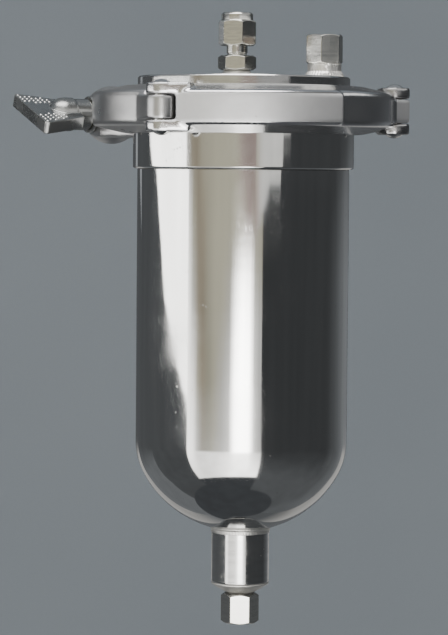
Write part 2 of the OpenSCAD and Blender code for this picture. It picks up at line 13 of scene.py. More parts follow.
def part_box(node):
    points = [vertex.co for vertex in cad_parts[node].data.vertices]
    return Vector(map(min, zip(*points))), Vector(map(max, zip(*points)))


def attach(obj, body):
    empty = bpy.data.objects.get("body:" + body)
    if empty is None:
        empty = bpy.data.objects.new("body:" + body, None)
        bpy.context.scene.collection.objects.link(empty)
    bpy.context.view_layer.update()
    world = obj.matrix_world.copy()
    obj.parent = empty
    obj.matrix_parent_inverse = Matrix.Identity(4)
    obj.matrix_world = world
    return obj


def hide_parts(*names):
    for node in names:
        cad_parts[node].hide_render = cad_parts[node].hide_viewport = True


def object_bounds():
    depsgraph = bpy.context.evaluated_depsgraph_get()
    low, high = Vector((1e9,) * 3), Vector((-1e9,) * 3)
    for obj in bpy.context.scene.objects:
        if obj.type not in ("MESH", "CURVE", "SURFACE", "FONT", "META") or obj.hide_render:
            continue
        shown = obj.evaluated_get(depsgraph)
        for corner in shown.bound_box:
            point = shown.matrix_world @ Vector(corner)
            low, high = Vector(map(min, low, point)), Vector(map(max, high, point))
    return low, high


bl_info = {
    "name": "Coalescing filter",
    "version": (1, 0, 0),
    "blender": (4, 5, 0),
    "location": "3D View > Sidebar > Filter",
    "description": "Builds the looks of a coalescing filter on its CAD frame",
    "category": "Object",
}

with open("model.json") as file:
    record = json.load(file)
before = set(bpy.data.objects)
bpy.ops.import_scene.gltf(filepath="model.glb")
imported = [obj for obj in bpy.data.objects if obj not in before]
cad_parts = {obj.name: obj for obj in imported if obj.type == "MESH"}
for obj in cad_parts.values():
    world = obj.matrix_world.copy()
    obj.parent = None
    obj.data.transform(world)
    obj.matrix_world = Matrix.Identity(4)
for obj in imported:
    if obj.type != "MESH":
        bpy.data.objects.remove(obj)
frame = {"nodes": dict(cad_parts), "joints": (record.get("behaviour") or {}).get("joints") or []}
FIRST_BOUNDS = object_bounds()
MM = 0.001


# ---------------------------------------------------------------- settings


class FilterShapeSettings(bpy.types.PropertyGroup):
    """Sizes of the details that are added to the CAD shapes"""

    turned_segments: IntProperty(
        name="Turned segments", description="Segments round every turned piece",
        default=192, min=48, max=360)
    edge_radius: FloatProperty(
        name="Edge radius", description="Radius on the edges of turned pieces",
        default=0.0003, min=0.00005, max=0.002, unit="LENGTH")
    knuckle_radius: FloatProperty(
        name="Knuckle radius", description="Knuckle radius of the domed end",
        default=0.03, min=0.02, max=0.034, unit="LENGTH")
    flange_angle: FloatProperty(
        name="Flange angle", description="Angle of the flanges' backs",
        default=math.radians(20), min=0.2, max=0.5, subtype="ANGLE")
    flange_rim: FloatProperty(
        name="Flange rim", description="Thickness of each flange at its rim",
        default=0.00285, min=0.002, max=0.0034, unit="LENGTH")
    bead_depth: FloatProperty(
        name="Bead ripple", description="Depth of the ripples on the weld beads",
        default=0.00007, min=0.0, max=0.0003, unit="LENGTH")
    bead_pitch: FloatProperty(
        name="Bead pitch", description="Distance between two ripples of a weld bead",
        default=0.0013, min=0.0005, max=0.004, unit="LENGTH")
    cast_voxel: FloatProperty(
        name="Casting detail", description="Size of the cells that the castings are rounded with",
        default=0.0005, min=0.0003, max=0.002, unit="LENGTH")
    cast_smoothing: IntProperty(
        name="Casting smoothing", description="Smoothing passes over the castings",
        default=18, min=0, max=40)
    thread_lead: FloatProperty(
        name="Thread lead", description="Distance between two turns of the bolt's thread",
        default=0.00125, min=0.0005, max=0.003, unit="LENGTH")
    thread_depth: FloatProperty(
        name="Thread depth", description="Depth of the bolt's thread",
        default=0.00065, min=0.0002, max=0.001, unit="LENGTH")
    grip_pitch: FloatProperty(
        name="Grip pitch", description="Distance between two bumps on the wings",
        default=0.0026, min=0.001, max=0.005, unit="LENGTH")
    grip_radius: FloatProperty(
        name="Grip bump radius", description="Radius of one bump on the wings",
        default=0.00062, min=0.0003, max=0.002, unit="LENGTH")


class FilterFinishSettings(bpy.types.PropertyGroup):
    """How the surfaces are finished"""

    polish: FloatProperty(
        name="Polish", description="Roughness of the mirror-polished steel",
        default=0.055, min=0.0, max=0.5, subtype="FACTOR")
    turned: FloatProperty(
        name="Turned", description="Roughness of the turned head",
        default=0.09, min=0.0, max=0.6, subtype="FACTOR")
    machined: FloatProperty(
        name="Machined", description="Roughness of the machined fittings",
        default=0.08, min=0.0, max=0.6, subtype="FACTOR")
    cast: FloatProperty(
        name="Cast", description="Roughness of the tumbled castings",
        default=0.17, min=0.0, max=0.8, subtype="FACTOR")
    satin: FloatProperty(
        name="Satin pad", description="Roughness added on the clamp's blasted pad",
        default=0.27, min=0.0, max=0.6, subtype="FACTOR")
    smudge: FloatProperty(
        name="Smudges", description="How much smudges and dust dull the steel",
        default=0.06, min=0.0, max=0.5, subtype="FACTOR")


class FilterStageSettings(bpy.types.PropertyGroup):
    """The floor, the light and the camera"""

    floor_drop: FloatProperty(
        name="Floor drop", description="How far the floor lies below the hanging filter",
        default=1.9, min=0.01, max=3.0, unit="LENGTH")
    room_radius: FloatProperty(
        name="Backdrop radius", description="Distance of the round backdrop",
        default=3.4, min=2.0, max=8.0, unit="LENGTH")
    panel_radius: FloatProperty(
        name="Panel distance", description="Distance of the light panels from the filter",
        default=1.75, min=1.3, max=3.0, unit="LENGTH")
    light: FloatProperty(
        name="Light", description="Strength of all light panels together",
        default=1.0, min=0.0, max=4.0)
    camera_distance: FloatProperty(
        name="Camera distance", description="Distance of the camera from the filter's axis",
        default=1.134, min=0.5, max=4.0, unit="LENGTH")
    focal_length: FloatProperty(
        name="Focal length", description="Focal length in millimetres",
        default=153.0, min=50.0, max=300.0)


# ---------------------------------------------------------------- measuring the CAD frame


def middle(node):
    """Centre of a CAD node's box."""
    low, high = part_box(node)
    return (low + high) / 2


def points_of(node):
    """Where the vertices of a CAD node are."""
    return [v.co for v in frame["nodes"][node].data.vertices]


def arms(node, low=-1.0, high=1.0):
    """Level offsets of a CAD node's points from its upright axis, between two heights."""
    centre = middle(node)
    return [(p - centre).xy for p in points_of(node) if low <= p.z <= high]


def reach(node, low=-1.0, high=1.0):
    """Greatest distance of a CAD node's points from its upright axis, between two heights."""
    return max(arm.length for arm in arms(node, low, high))


def hex_turn(node, low, high):
    """Angle of a CAD hexagon's corners between two heights, and its width across flats."""
    corner = max(arms(node, low, high), key=lambda arm: arm.length)
    return math.atan2(corner.y, corner.x), 2 * corner.length * math.cos(math.radians(30))


def joint_line(name):
    """A point on a joint's axis, and the axis's direction."""
    joint = next(j for j in frame["joints"] if j["name"] == name)
    return Vector(joint["pos_m"]), Vector(joint["axis"]).normalized()


def span_along(node, point, direction):
    """Where a CAD node starts and ends along a line."""
    places = [(p - point).dot(direction) for p in points_of(node)]
    return min(places), max(places)


def square_to(arm, direction):
    """The part of an arm that is square to a direction."""
    return arm - direction * arm.dot(direction)


def girth(node, point, direction, start, end):
    """Greatest distance of a CAD node's points from a line, between two places along it."""
    return max(square_to(p - point, direction).length for p in points_of(node)
               if start <= (p - point).dot(direction) <= end)


# ---------------------------------------------------------------- mesh building

# Edges of a profile that are longer than this get a held point near each end.
LONG_EDGE = 1.2 * MM
HELD_GAP = 0.25 * MM


def spun(radius, angle, height):
    """A point at a radius, an angle and a height."""
    return radius * math.cos(angle), radius * math.sin(angle), height


def rounded(corners, closed=False, steps=4, longest=LONG_EDGE):
    """A profile through corners of (radius, height, fillet), with held ends on its long edges."""
    points = [Vector(c[:2]) for c in corners]
    count = len(points)
    out = []
    for i, corner in enumerate(corners):
        here, fillet = points[i], corner[2]
        if fillet <= 0 or (not closed and i in (0, count - 1)):
            out.append(here)
            continue
        back, on = points[i - 1] - here, points[(i + 1) % count] - here
        half = back.angle(on) / 2
        cut = min(fillet / math.tan(half), 0.45 * back.length, 0.45 * on.length)
        fillet = cut * math.tan(half)
        centre = here + (back.normalized() + on.normalized()).normalized() * fillet / math.sin(half)
        first = here + back.normalized() * cut - centre
        turn = math.copysign(math.pi - 2 * half, -back.cross(on))
        out += [centre + Matrix.Rotation(turn * k / steps, 2) @ first for k in range(steps + 1)]
    return held(out, closed, longest)


def held(points, closed, longest=LONG_EDGE):
    """Adds a point near each end of every long edge, so that smooth shading keeps it straight."""
    out = []
    for i, here in enumerate(points):
        out.append(here)
        if i == len(points) - 1 and not closed:
            break
        step = points[(i + 1) % len(points)] - here
        gap = step.normalized() * min(HELD_GAP, step.length * 0.1)
        if step.length > longest:
            out += [here + gap, here + step - gap]
    return out


def skin(columns, closed_profile):
    """Faces over columns of points that go once round an axis."""
    count, tall = len(columns), len(columns[0])
    vertices = [p for column in columns for p in column]
    faces = []
    for i in range(count):
        j = (i + 1) % count
        for k in range(tall if closed_profile else tall - 1):
            m = (k + 1) % tall
            faces.append((i * tall + k, j * tall + k, j * tall + m, i * tall + m))
    return vertices, faces


def welded(mesh, distance):
    """Joins the vertices of a mesh that are nearer to each other than a distance."""
    work = bmesh.new()
    work.from_mesh(mesh)
    bmesh.ops.remove_doubles(work, verts=work.verts, dist=distance)
    return work


def piece(name, shell, material, slot, replaced, body="filter", place=None, sharp=35):
    """Makes a mesh piece of the filter from vertices and faces, and lets it ride its body."""
    mesh = bpy.data.meshes.new(name)
    mesh.from_pydata([tuple(v) for v in shell[0]], [], shell[1])
    work = welded(mesh, 1e-7)
    bmesh.ops.dissolve_degenerate(work, edges=work.edges, dist=1e-8)
    bmesh.ops.recalc_face_normals(work, faces=work.faces)
    work.to_mesh(mesh)
    work.free()
    return dressed(name, mesh, material, replaced, body, place, sharp)


def dressed(name, mesh, material, replaced, body="filter", place=None, sharp=35):
    """Makes an object of a mesh, with its material, body and the nodes it stands for."""
    mesh.materials.clear()
    mesh.materials.append(material)
    mesh.shade_smooth()
    mesh.set_sharp_from_angle(angle=math.radians(sharp))
    obj = bpy.data.objects.new(name, mesh)
    bpy.context.scene.collection.objects.link(obj)
    obj.matrix_world = place or Matrix.Identity(4)
    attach(obj, body)
    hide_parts(*replaced)
    return obj


def over(node):
    """Placement over a CAD node's upright axis."""
    centre = middle(node)
    return Matrix.Translation((centre.x, centre.y, 0))


def turned(name, node, corners, look, closed=True, slot=None, wave=None, **more):
    """Turns a profile of corners or of ready points round a CAD node's upright axis.

    look is the function of its material; the slot argument is not used. wave gives the outward
    shift at an angle, a radius and a height.
    """
    profile = rounded(corners, closed) if len(corners[0]) == 3 else corners
    segments = bpy.context.scene.filter_shape.turned_segments
    columns = []
    for i in range(segments):
        a = 2 * math.pi * i / segments
        columns.append([spun(r + (wave(a, r, z) if wave else 0.0), a, z) for r, z in profile])
    more = {"replaced": [node], "place": over(node), **more}
    return piece(name, skin(columns, closed), look(), slot or look.__name__, **more)


def ripple(shape, share=1.0, core=0.0):
    """Outward shift of a weld bead's surface, with none inside a core."""
    def wave(angle, radius, height):
        if core and radius <= core:
            return 0.0
        turns = round(2 * math.pi * radius / shape.bead_pitch)
        swell = noise.noise(Vector((math.cos(angle), math.sin(angle), height * 400)) * 2.5)
        lean = 60 * height / 0.01
        return share * shape.bead_depth * (math.sin(turns * angle + lean) + 1.6 * swell)
    return wave


def hexagon(half_width, corner, turn):
    """Points of a hexagon with rounded corners, as (angle, radius)."""
    def polar(radius, degrees):
        return Vector(spun(radius, math.radians(degrees), 0)[:2])
    inner = (half_width - corner) / math.cos(math.radians(30))
    arcs = [[polar(inner, peak) + polar(corner, peak + a) for a in range(-30, 31, 10)]
            for peak in range(0, 360, 60)]
    points = []
    for arc, following in zip(arcs, arcs[1:] + arcs[:1]):
        points += arc
        points += [arc[-1].lerp(following[0], share) for share in (0.03, 0.25, 0.5, 0.75, 0.97)]
    return [(math.atan2(p.y, p.x) + turn, p.length) for p in points]


def hex_shell(width, low, high, turn, bore, shoulder=None):
    """Shell of a hexagon nut with chamfered ends, and a round shoulder on top if given."""
    face, slope = width / 2 * 0.96, math.tan(math.radians(33))
    edge, soft, round_over = 0.12 * MM, 0.2 * MM, 0.8 * MM
    columns = []
    for angle, radius in hexagon(width / 2, 0.35 * MM, turn):
        cut = max((radius - face) * slope, 0.0)
        corners = [(bore, low, 0.1 * MM), (face, low, edge), (radius, low + cut, soft),
                   (radius, high - cut, soft), (face, high, edge)]
        if shoulder:
            step, top = shoulder
            corners += [(step, high, 0.15 * MM), (step, top - round_over, 0.4 * MM),
                        (step - round_over, top, 0.3 * MM), (bore, top, soft)]
        else:
            corners.append((bore, high, soft))
        profile = rounded(corners, closed=True, steps=3, longest=2.5 * MM)
        columns.append([spun(r, angle, z) for r, z in profile])
    return skin(columns, True)


# ---------------------------------------------------------------- materials


class Nodes:
    """Short ways to add nodes to a shader's tree"""

    def __init__(self, tree):
        self.tree = tree

    def add(self, kind, inputs=(), **settings):
        """Adds a node; an input given as a socket is linked, any other value is set."""
        node = self.tree.nodes.new(kind)
        for key, value in settings.items():
            setattr(node, key, value)
        for key, value in dict(inputs).items():
            if isinstance(value, bpy.types.NodeSocket):
                self.tree.links.new(value, node.inputs[key])
            else:
                node.inputs[key].default_value = value
        return node

    def spot(self):
        """Where a point is in its object."""
        return self.add("ShaderNodeTexCoord").outputs["Object"]

    def math(self, operation, a, b=0.0, clamp=False):
        """One step of arithmetic between two values or sockets."""
        return self.add("ShaderNodeMath", {0: a, 1: b}, operation=operation,
                        use_clamp=clamp).outputs[0]

    def times(self, a, b):
        return self.math("MULTIPLY", a, b)

    def plus(self, a, b):
        return self.math("ADD", a, b)

    def minus(self, a, b):
        return self.math("SUBTRACT", a, b)

    def vector(self, operation, a, b):
        """One step of arithmetic between two vectors."""
        return self.add("ShaderNodeVectorMath", {0: a, 1: b}, operation=operation).outputs[0]

    def parts(self, vector):
        """The three parts of a vector."""
        return self.add("ShaderNodeSeparateXYZ", {0: vector}).outputs

    def radius(self, parts):
        """Distance of a point from the upright axis."""
        flat = self.add("ShaderNodeCombineXYZ", {"X": parts["X"], "Y": parts["Y"]}).outputs[0]
        return self.add("ShaderNodeVectorMath", {0: flat}, operation="LENGTH").outputs["Value"]

    def ranged(self, value, low, high, out_low=0.0, out_high=1.0):
        """Value taken from one range to another, with soft ends."""
        return self.add("ShaderNodeMapRange",
                        {"Value": value, "From Min": low, "From Max": high, "To Min": out_low,
                         "To Max": out_high}, interpolation_type="SMOOTHSTEP").outputs["Result"]

    def blended(self, share, a, b):
        """Colour between a and b."""
        return self.add("ShaderNodeMix", {0: share, 6: a, 7: b}, data_type="RGBA").outputs[2]

    def noise(self, place, scale, detail=2.0, **inputs):
        """Soft noise at a place."""
        return self.add("ShaderNodeTexNoise", {"Vector": place, "Scale": scale, "Detail": detail,
                                               **inputs}).outputs["Fac"]

    def bump(self, height, distance, strength):
        """The normal of a relief."""
        return self.add("ShaderNodeBump", {"Height": height, "Distance": distance,
                                           "Strength": strength}).outputs[0]

    def feed(self, shader, tint, rough, normal):
        """Gives a shader its colour, its roughness and its relief."""
        for label, value in (("Base Color", tint), ("Roughness", rough), ("Normal", normal)):
            self.tree.links.new(value, shader.inputs[label])

    def use(self, name, **inputs):
        """Adds a node group; underscores in the names of inputs stand for spaces."""
        inputs = {key.replace("_", " "): value for key, value in inputs.items()}
        return self.add("ShaderNodeGroup", inputs, node_tree=bpy.data.node_groups[name]).outputs


EFFECTS = {}


def effect(name, **inputs):
    """Keeps how a node group is built, with its inputs; None stands for a vector."""
    def keep(build):
        EFFECTS[name] = inputs, build
        return build
    return keep


def make_effects():
    """Makes the node groups that the materials share."""
    for name, (inputs, build) in EFFECTS.items():
        if name in bpy.data.node_groups:
            continue
        tree = bpy.data.node_groups.new(name, "ShaderNodeTree")
        for label, value in inputs.items():
            kind = "NodeSocketVector" if value is None else "NodeSocketFloat"
            socket = tree.interface.new_socket(label.replace("_", " "), in_out="INPUT",
                                               socket_type=kind)
            if value is not None:
                socket.default_value = value
        made = build(Nodes(tree), tree.nodes.new("NodeGroupInput").outputs)
        for label in made:
            tree.interface.new_socket(label, in_out="OUTPUT", socket_type="NodeSocketFloat")
        result = tree.nodes.new("NodeGroupOutput").inputs
        for label, value in made.items():
            tree.links.new(value, result[label])


@effect("Turning lines", Pitch=0.0004, Runout=0.6)
def turning_lines(nodes, given):
    """Rings that a lathe leaves, and broad streaks of them."""
    parts = nodes.parts(nodes.spot())
    lines = nodes.add("ShaderNodeCombineXYZ", {
        "X": nodes.math("DIVIDE", nodes.radius(parts), given["Pitch"]),
        "Y": nodes.math("DIVIDE", parts["Z"], given["Pitch"]),
        "Z": nodes.times(nodes.math("ARCTAN2", parts["Y"], parts["X"]), given["Runout"]),
    }).outputs[0]
    return {"Height": nodes.noise(lines, 1.0, 3.0, Roughness=0.6),
            "Streaks": nodes.ranged(nodes.noise(lines, 0.13), 0.35, 0.7)}


@effect("Hairlines", Density=900.0, Tilt=0.3)
def hairlines(nodes, given):
    """Fine scratches in three directions, in patches."""
    spot = nodes.spot()
    masks = []
    for turn, stretch in ((0.0, 0.02), (1.1, 0.035), (2.3, 0.05)):
        tilted = nodes.add("ShaderNodeVectorRotate",
                           {"Vector": spot, "Axis": (0.3, 0.5, 0.8),
                            "Angle": nodes.plus(given["Tilt"], turn)}).outputs[0]
        drawn = nodes.vector("MULTIPLY", tilted, (1.0, 1.0, stretch))
        masks.append(nodes.ranged(nodes.noise(drawn, given["Density"], 1.0), 0.66, 0.74))
    every = nodes.math("MAXIMUM", nodes.math("MAXIMUM", masks[0], masks[1]), masks[2])
    mask = nodes.times(every, nodes.ranged(nodes.noise(spot, 38.0), 0.42, 0.62))
    return {"Height": nodes.times(mask, -1.0), "Mask": mask}


@effect("Smudges", Scale=22.0, Spots=0.5)
def smudges(nodes, given):
    """Clouds of smudges, and scattered specks of dust."""
    spot = nodes.spot()
    cloud = nodes.noise(spot, given["Scale"], 5.0, Distortion=0.6)
    drops = nodes.add("ShaderNodeTexVoronoi", {"Vector": spot, "Scale": 260.0,
                                               "Randomness": 1.0}).outputs["Distance"]
    shown = nodes.times(nodes.ranged(drops, 0.16, 0.05),
                        nodes.ranged(nodes.noise(spot, 70.0), 0.5, 0.68))
    return {"Mask": nodes.ranged(cloud, 0.42, 0.72), "Dust": nodes.times(shown, given["Spots"])}


@effect("Cast grain", Size=0.0004, Pitting=0.5)
def cast_grain(nodes, given):
    """The grain and the pits of a casting's skin, and patches of it."""
    spot = nodes.spot()
    finer = nodes.math("DIVIDE", 1.0, given["Size"])
    sized = nodes.add("ShaderNodeVectorMath", {0: spot, 3: finer}, operation="SCALE").outputs[0]
    cells = nodes.add("ShaderNodeTexVoronoi", {"Vector": sized, "Scale": 0.32},
                      feature="SMOOTH_F1").outputs["Distance"]
    pits = nodes.times(nodes.ranged(cells, 0.3, 0.12), given["Pitting"])
    return {"Height": nodes.minus(nodes.noise(sized, 1.0, 4.0, Roughness=0.62), pits),
            "Patches": nodes.ranged(nodes.noise(spot, 60.0, 4.0), 0.35, 0.68)}


@effect("Satin face", Centre=None, Radius=0.06, Half_height=0.006, Edge=0.0004)
def satin_face(nodes, given):
    """Marks a band outside a radius and within a half height."""
    parts = nodes.parts(nodes.vector("SUBTRACT", nodes.spot(), given["Centre"]))
    radius, half, edge = given["Radius"], given["Half height"], given["Edge"]
    outside = nodes.ranged(nodes.radius(parts), nodes.minus(radius, edge), radius)
    within = nodes.ranged(nodes.math("ABSOLUTE", parts["Z"]), nodes.plus(half, edge), half)
    return {"Mask": nodes.times(outside, within)}


@effect("Painted corner shade", Reach=0.0025, Amount=0.5)
def painted_corner_shade(nodes, given):
    """Painted shade in the inner corners: darkening where ambient occlusion finds hollows, made
    uneven with noise.
    """
    hollow = nodes.add("ShaderNodeAmbientOcclusion", {"Distance": given["Reach"]},
                       samples=6).outputs["AO"]
    uneven = nodes.noise(nodes.spot(), 320.0, 4.0)
    shade_mask = nodes.times(nodes.ranged(hollow, 0.75, 0.3),
                         nodes.ranged(uneven, 0.2, 0.6, 0.5, 1.0))
    return {"Mask": nodes.times(shade_mask, given["Amount"])}


def fresh(name):
    """A new material, with its nodes and its shader."""
    material = bpy.data.materials.new(name)
    material.use_nodes = True
    return material, Nodes(material.node_tree), material.node_tree.nodes["Principled BSDF"]


def metal(name, colour, roughness, surface, distance, satin=0.0, vary=0.05, shade=0.86,
          reach=0.002, shade_in_corners=0.5, strength=0.3, smudge_scale=24.0):
    """A metal material. surface gives its relief, the changes of its look and a satin mask."""
    if name in bpy.data.materials:
        return bpy.data.materials[name]
    material, nodes, shader = fresh(name)
    shader.inputs["Metallic"].default_value = 1.0
    smudged = nodes.use("Smudges", Scale=smudge_scale, Spots=0.7)
    # Painted shade: a mask of the inner corners, which darkens the colour and adds roughness.
    shade_mask = nodes.use("Painted corner shade", Reach=reach, Amount=shade_in_corners)["Mask"]
    relief, changes, *mask = surface(nodes)
    dulled = nodes.times(smudged["Mask"], bpy.context.scene.filter_finish.smudge)
    for value, share in ((smudged["Dust"], 0.25), (changes, vary), (shade_mask, 0.3),
                         *((m, satin) for m in mask)):
        dulled = nodes.plus(dulled, nodes.times(value, share))
    rough = nodes.math("ADD", dulled, roughness, clamp=True)
    tint = nodes.blended(changes, (*colour, 1.0), (*(c * shade for c in colour), 1.0))
    tint = nodes.blended(nodes.times(smudged["Dust"], 0.5), tint, (0.5, 0.49, 0.46, 1.0))
    # The painted shade turns the colour towards near black in the inner corners.
    tint = nodes.blended(shade_mask, tint, (0.10, 0.095, 0.085, 1.0))
    nodes.feed(shader, tint, rough, nodes.bump(relief, distance, strength))
    return material


def layered(main, other, share, changes):
    """A surface of one relief with a share of another, each an effect's name and its inputs."""
    def surface(nodes):
        first, second = nodes.use(main[0], **main[1]), nodes.use(other[0], **other[1])
        relief = nodes.plus(first["Height"], nodes.times(second["Height"], share))
        return relief, first[changes]
    return surface


def finishes():
    """The settings of how the surfaces are finished."""
    return bpy.context.scene.filter_finish


def polished_steel():
    """Mirror-polished steel with faint waves and hairlines."""
    def surface(nodes):
        hair = nodes.use("Hairlines", Density=1300.0)
        lines = nodes.use("Turning lines", Pitch=0.0006, Runout=0.4)
        slow = nodes.times(nodes.noise(nodes.spot(), 55.0), 3.0)
        fine = nodes.plus(nodes.times(lines["Height"], 0.05), nodes.times(hair["Height"], 0.08))
        return nodes.plus(slow, fine), hair["Mask"]
    return metal("Polished steel", (0.66, 0.66, 0.65), finishes().polish, surface, 0.00004,
                 vary=0.1, shade=0.93, shade_in_corners=0.35, strength=0.25)


def turned_steel():
    """Steel with the fine rings that a lathe leaves."""
    surface = layered(("Turning lines", {"Pitch": 0.00022, "Runout": 0.8}),
                      ("Hairlines", {"Density": 900.0}), 0.5, "Streaks")
    return metal("Turned steel", (0.66, 0.66, 0.65), finishes().turned, surface, 0.00003,
                 vary=0.06, shade=0.9, strength=0.15)


def machined_steel():
    """Bright machined steel with tool marks."""
    def surface(nodes):
        lines = nodes.use("Turning lines", Pitch=0.00012, Runout=1.5)
        hair = nodes.use("Hairlines", Density=1500.0, Tilt=1.2)
        return nodes.plus(nodes.times(lines["Height"], 0.7), hair["Height"]), lines["Streaks"]
    return metal("Machined steel", (0.66, 0.655, 0.62), finishes().machined, surface, 0.00003,
                 vary=0.08, shade=0.85, reach=0.0012, strength=0.14, smudge_scale=60.0)


def weld_steel():
    """Bright, slightly rough steel of welds and weld fittings."""
    surface = layered(("Cast grain", {"Size": 0.0005, "Pitting": 0.6}),
                      ("Turning lines", {"Pitch": 0.0005, "Runout": 6.0}), 0.6, "Patches")
    return metal("Weld steel", (0.86, 0.85, 0.82), 0.28, surface, 0.00012,
                 vary=0.14, shade=0.75, reach=0.0015, strength=0.45)


def cast_steel(name="Cast steel", shade=0.5, dull=0.1):
    """Cast steel, polished by tumbling; dull adds roughness."""
    surface = layered(("Cast grain", {"Size": 0.0008, "Pitting": 0.15}),
                      ("Hairlines", {"Density": 700.0, "Tilt": 0.7}), 0.15, "Patches")
    return metal(name, (shade, shade, shade * 1.01), finishes().cast + dull, surface, 0.00006,
                 vary=0.06, reach=0.003, shade_in_corners=0.7)


def padded_steel():
    """The same cast steel, with a blasted satin face on the raised pad."""
    low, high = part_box("clamp_front_segment")
    centre = middle("bowl_shell")
    centre.z = (low.z + high.z) / 2
    radius = centre.y - low.y
    skin_depth = 0.05 * MM
    face = max(abs(p.z - centre.z) for p in points_of("clamp_front_segment")
               if centre.y - p.y > radius - skin_depth)

    def surface(nodes):
        fine = nodes.use("Cast grain", Size=0.0008, Pitting=0.12)
        blasted = nodes.use("Cast grain", Size=0.00035, Pitting=0.5)
        mask = nodes.use("Satin face", Centre=centre, Radius=radius - 0.4 * MM,
                         Half_height=face, Edge=0.3 * MM)["Mask"]
        coarse = nodes.times(blasted["Height"], 1.6)
        relief = nodes.add("ShaderNodeMix", {0: mask, 2: fine["Height"], 3: coarse}).outputs[0]
        return relief, fine["Patches"], mask
    return metal("Cast steel with satin face", (0.62, 0.62, 0.63), finishes().cast, surface,
                 0.00006, satin=finishes().satin, shade=0.88, reach=0.003, shade_in_corners=0.7)


def shaded_cast_steel():
    """The cast steel of the clamp's right segment in a darker colour as painted shade, and a little
    smoother.
    """
    return cast_steel("Dark cast steel", 0.38, 0.02)


def dark_casting():
    """A casting with a dull grey skin that still shows its grain."""
    surface = layered(("Cast grain", {"Size": 0.0009, "Pitting": 0.15}),
                      ("Hairlines", {"Density": 1000.0, "Tilt": 2.0}), 0.1, "Patches")
    return metal("Dark casting", (0.36, 0.365, 0.36), 0.2, surface, 0.00008,
                 vary=0.1, shade=0.78, reach=0.0025, shade_in_corners=0.85)


def highlighted_bumps():
    """The bumps, coloured far lighter than the wing nut's casting as a painted highlight, and a
    little smoother.
    """
    def surface(nodes):
        grain = nodes.use("Cast grain", Size=0.0004, Pitting=0.2)
        return grain["Height"], grain["Patches"]
    return metal("Bright bumps", (0.8, 0.8, 0.79), 0.14, surface, 0.00003,
                 vary=0.06, shade=0.88, reach=0.0006, shade_in_corners=0.8)


def white_gasket():
    """White gasket material, matt and faintly mottled."""
    material, nodes, shader = fresh("White gasket")
    grain = nodes.use("Cast grain", Size=0.0003, Pitting=0.2)
    dust = nodes.use("Smudges", Scale=80.0, Spots=0.6)["Dust"]
    tint = nodes.blended(grain["Patches"], (0.86, 0.86, 0.83, 1.0), (0.74, 0.73, 0.69, 1.0))
    tint = nodes.blended(dust, tint, (0.35, 0.33, 0.30, 1.0))
    rough = nodes.ranged(grain["Height"], 0.2, 0.8, 0.5, 0.7)
    nodes.feed(shader, tint, rough, nodes.bump(grain["Height"], 0.00005, 0.3))
    return material


# ---------------------------------------------------------------- operators

# Wall of the drain's nipple. The dome's hole is as wide as the nipple's bore.
NIPPLE_WALL = 2.4 * MM
# Inner radius of the tube nuts, and of the bolt's eye.
TUBE_BORE = 3.05 * MM
EYE_BORE = 3.05 * MM
# A weld bead's flat end has no ripples inside this radius.
BEAD_CORE = 3 * MM


def plain(node, material):
    """Gives a CAD node that is hardly seen its material, and shows it as it is."""
    obj = frame["nodes"][node]
    obj.data.materials.clear()
    obj.data.materials.append(material)


class FILTER_OT_head(bpy.types.Operator):
    """Builds the turned head with its flange, and the gasket below it"""

    bl_idname = "filter.head"
    bl_label = "Head"

    def execute(self, context):
        shape = context.scene.filter_shape
        edge = shape.edge_radius
        low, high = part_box("head")
        rim = reach("bowl_shell")
        flange = reach("head", low.z - MM, low.z + MM)
        back = low.z + shape.flange_rim
        root = back + (flange - rim) * math.tan(shape.flange_angle)
        corners = [(0, high.z, 0), (rim - 2 * edge, high.z, edge), (rim, high.z - 2 * edge, edge),
                   (rim, root, 4 * edge), (flange, back, edge), (flange, low.z, edge),
                   (0, low.z, 0)]
        turned("head_turned", "head", corners, turned_steel, closed=False)
        plain("gasket", white_gasket())
        return {"FINISHED"}


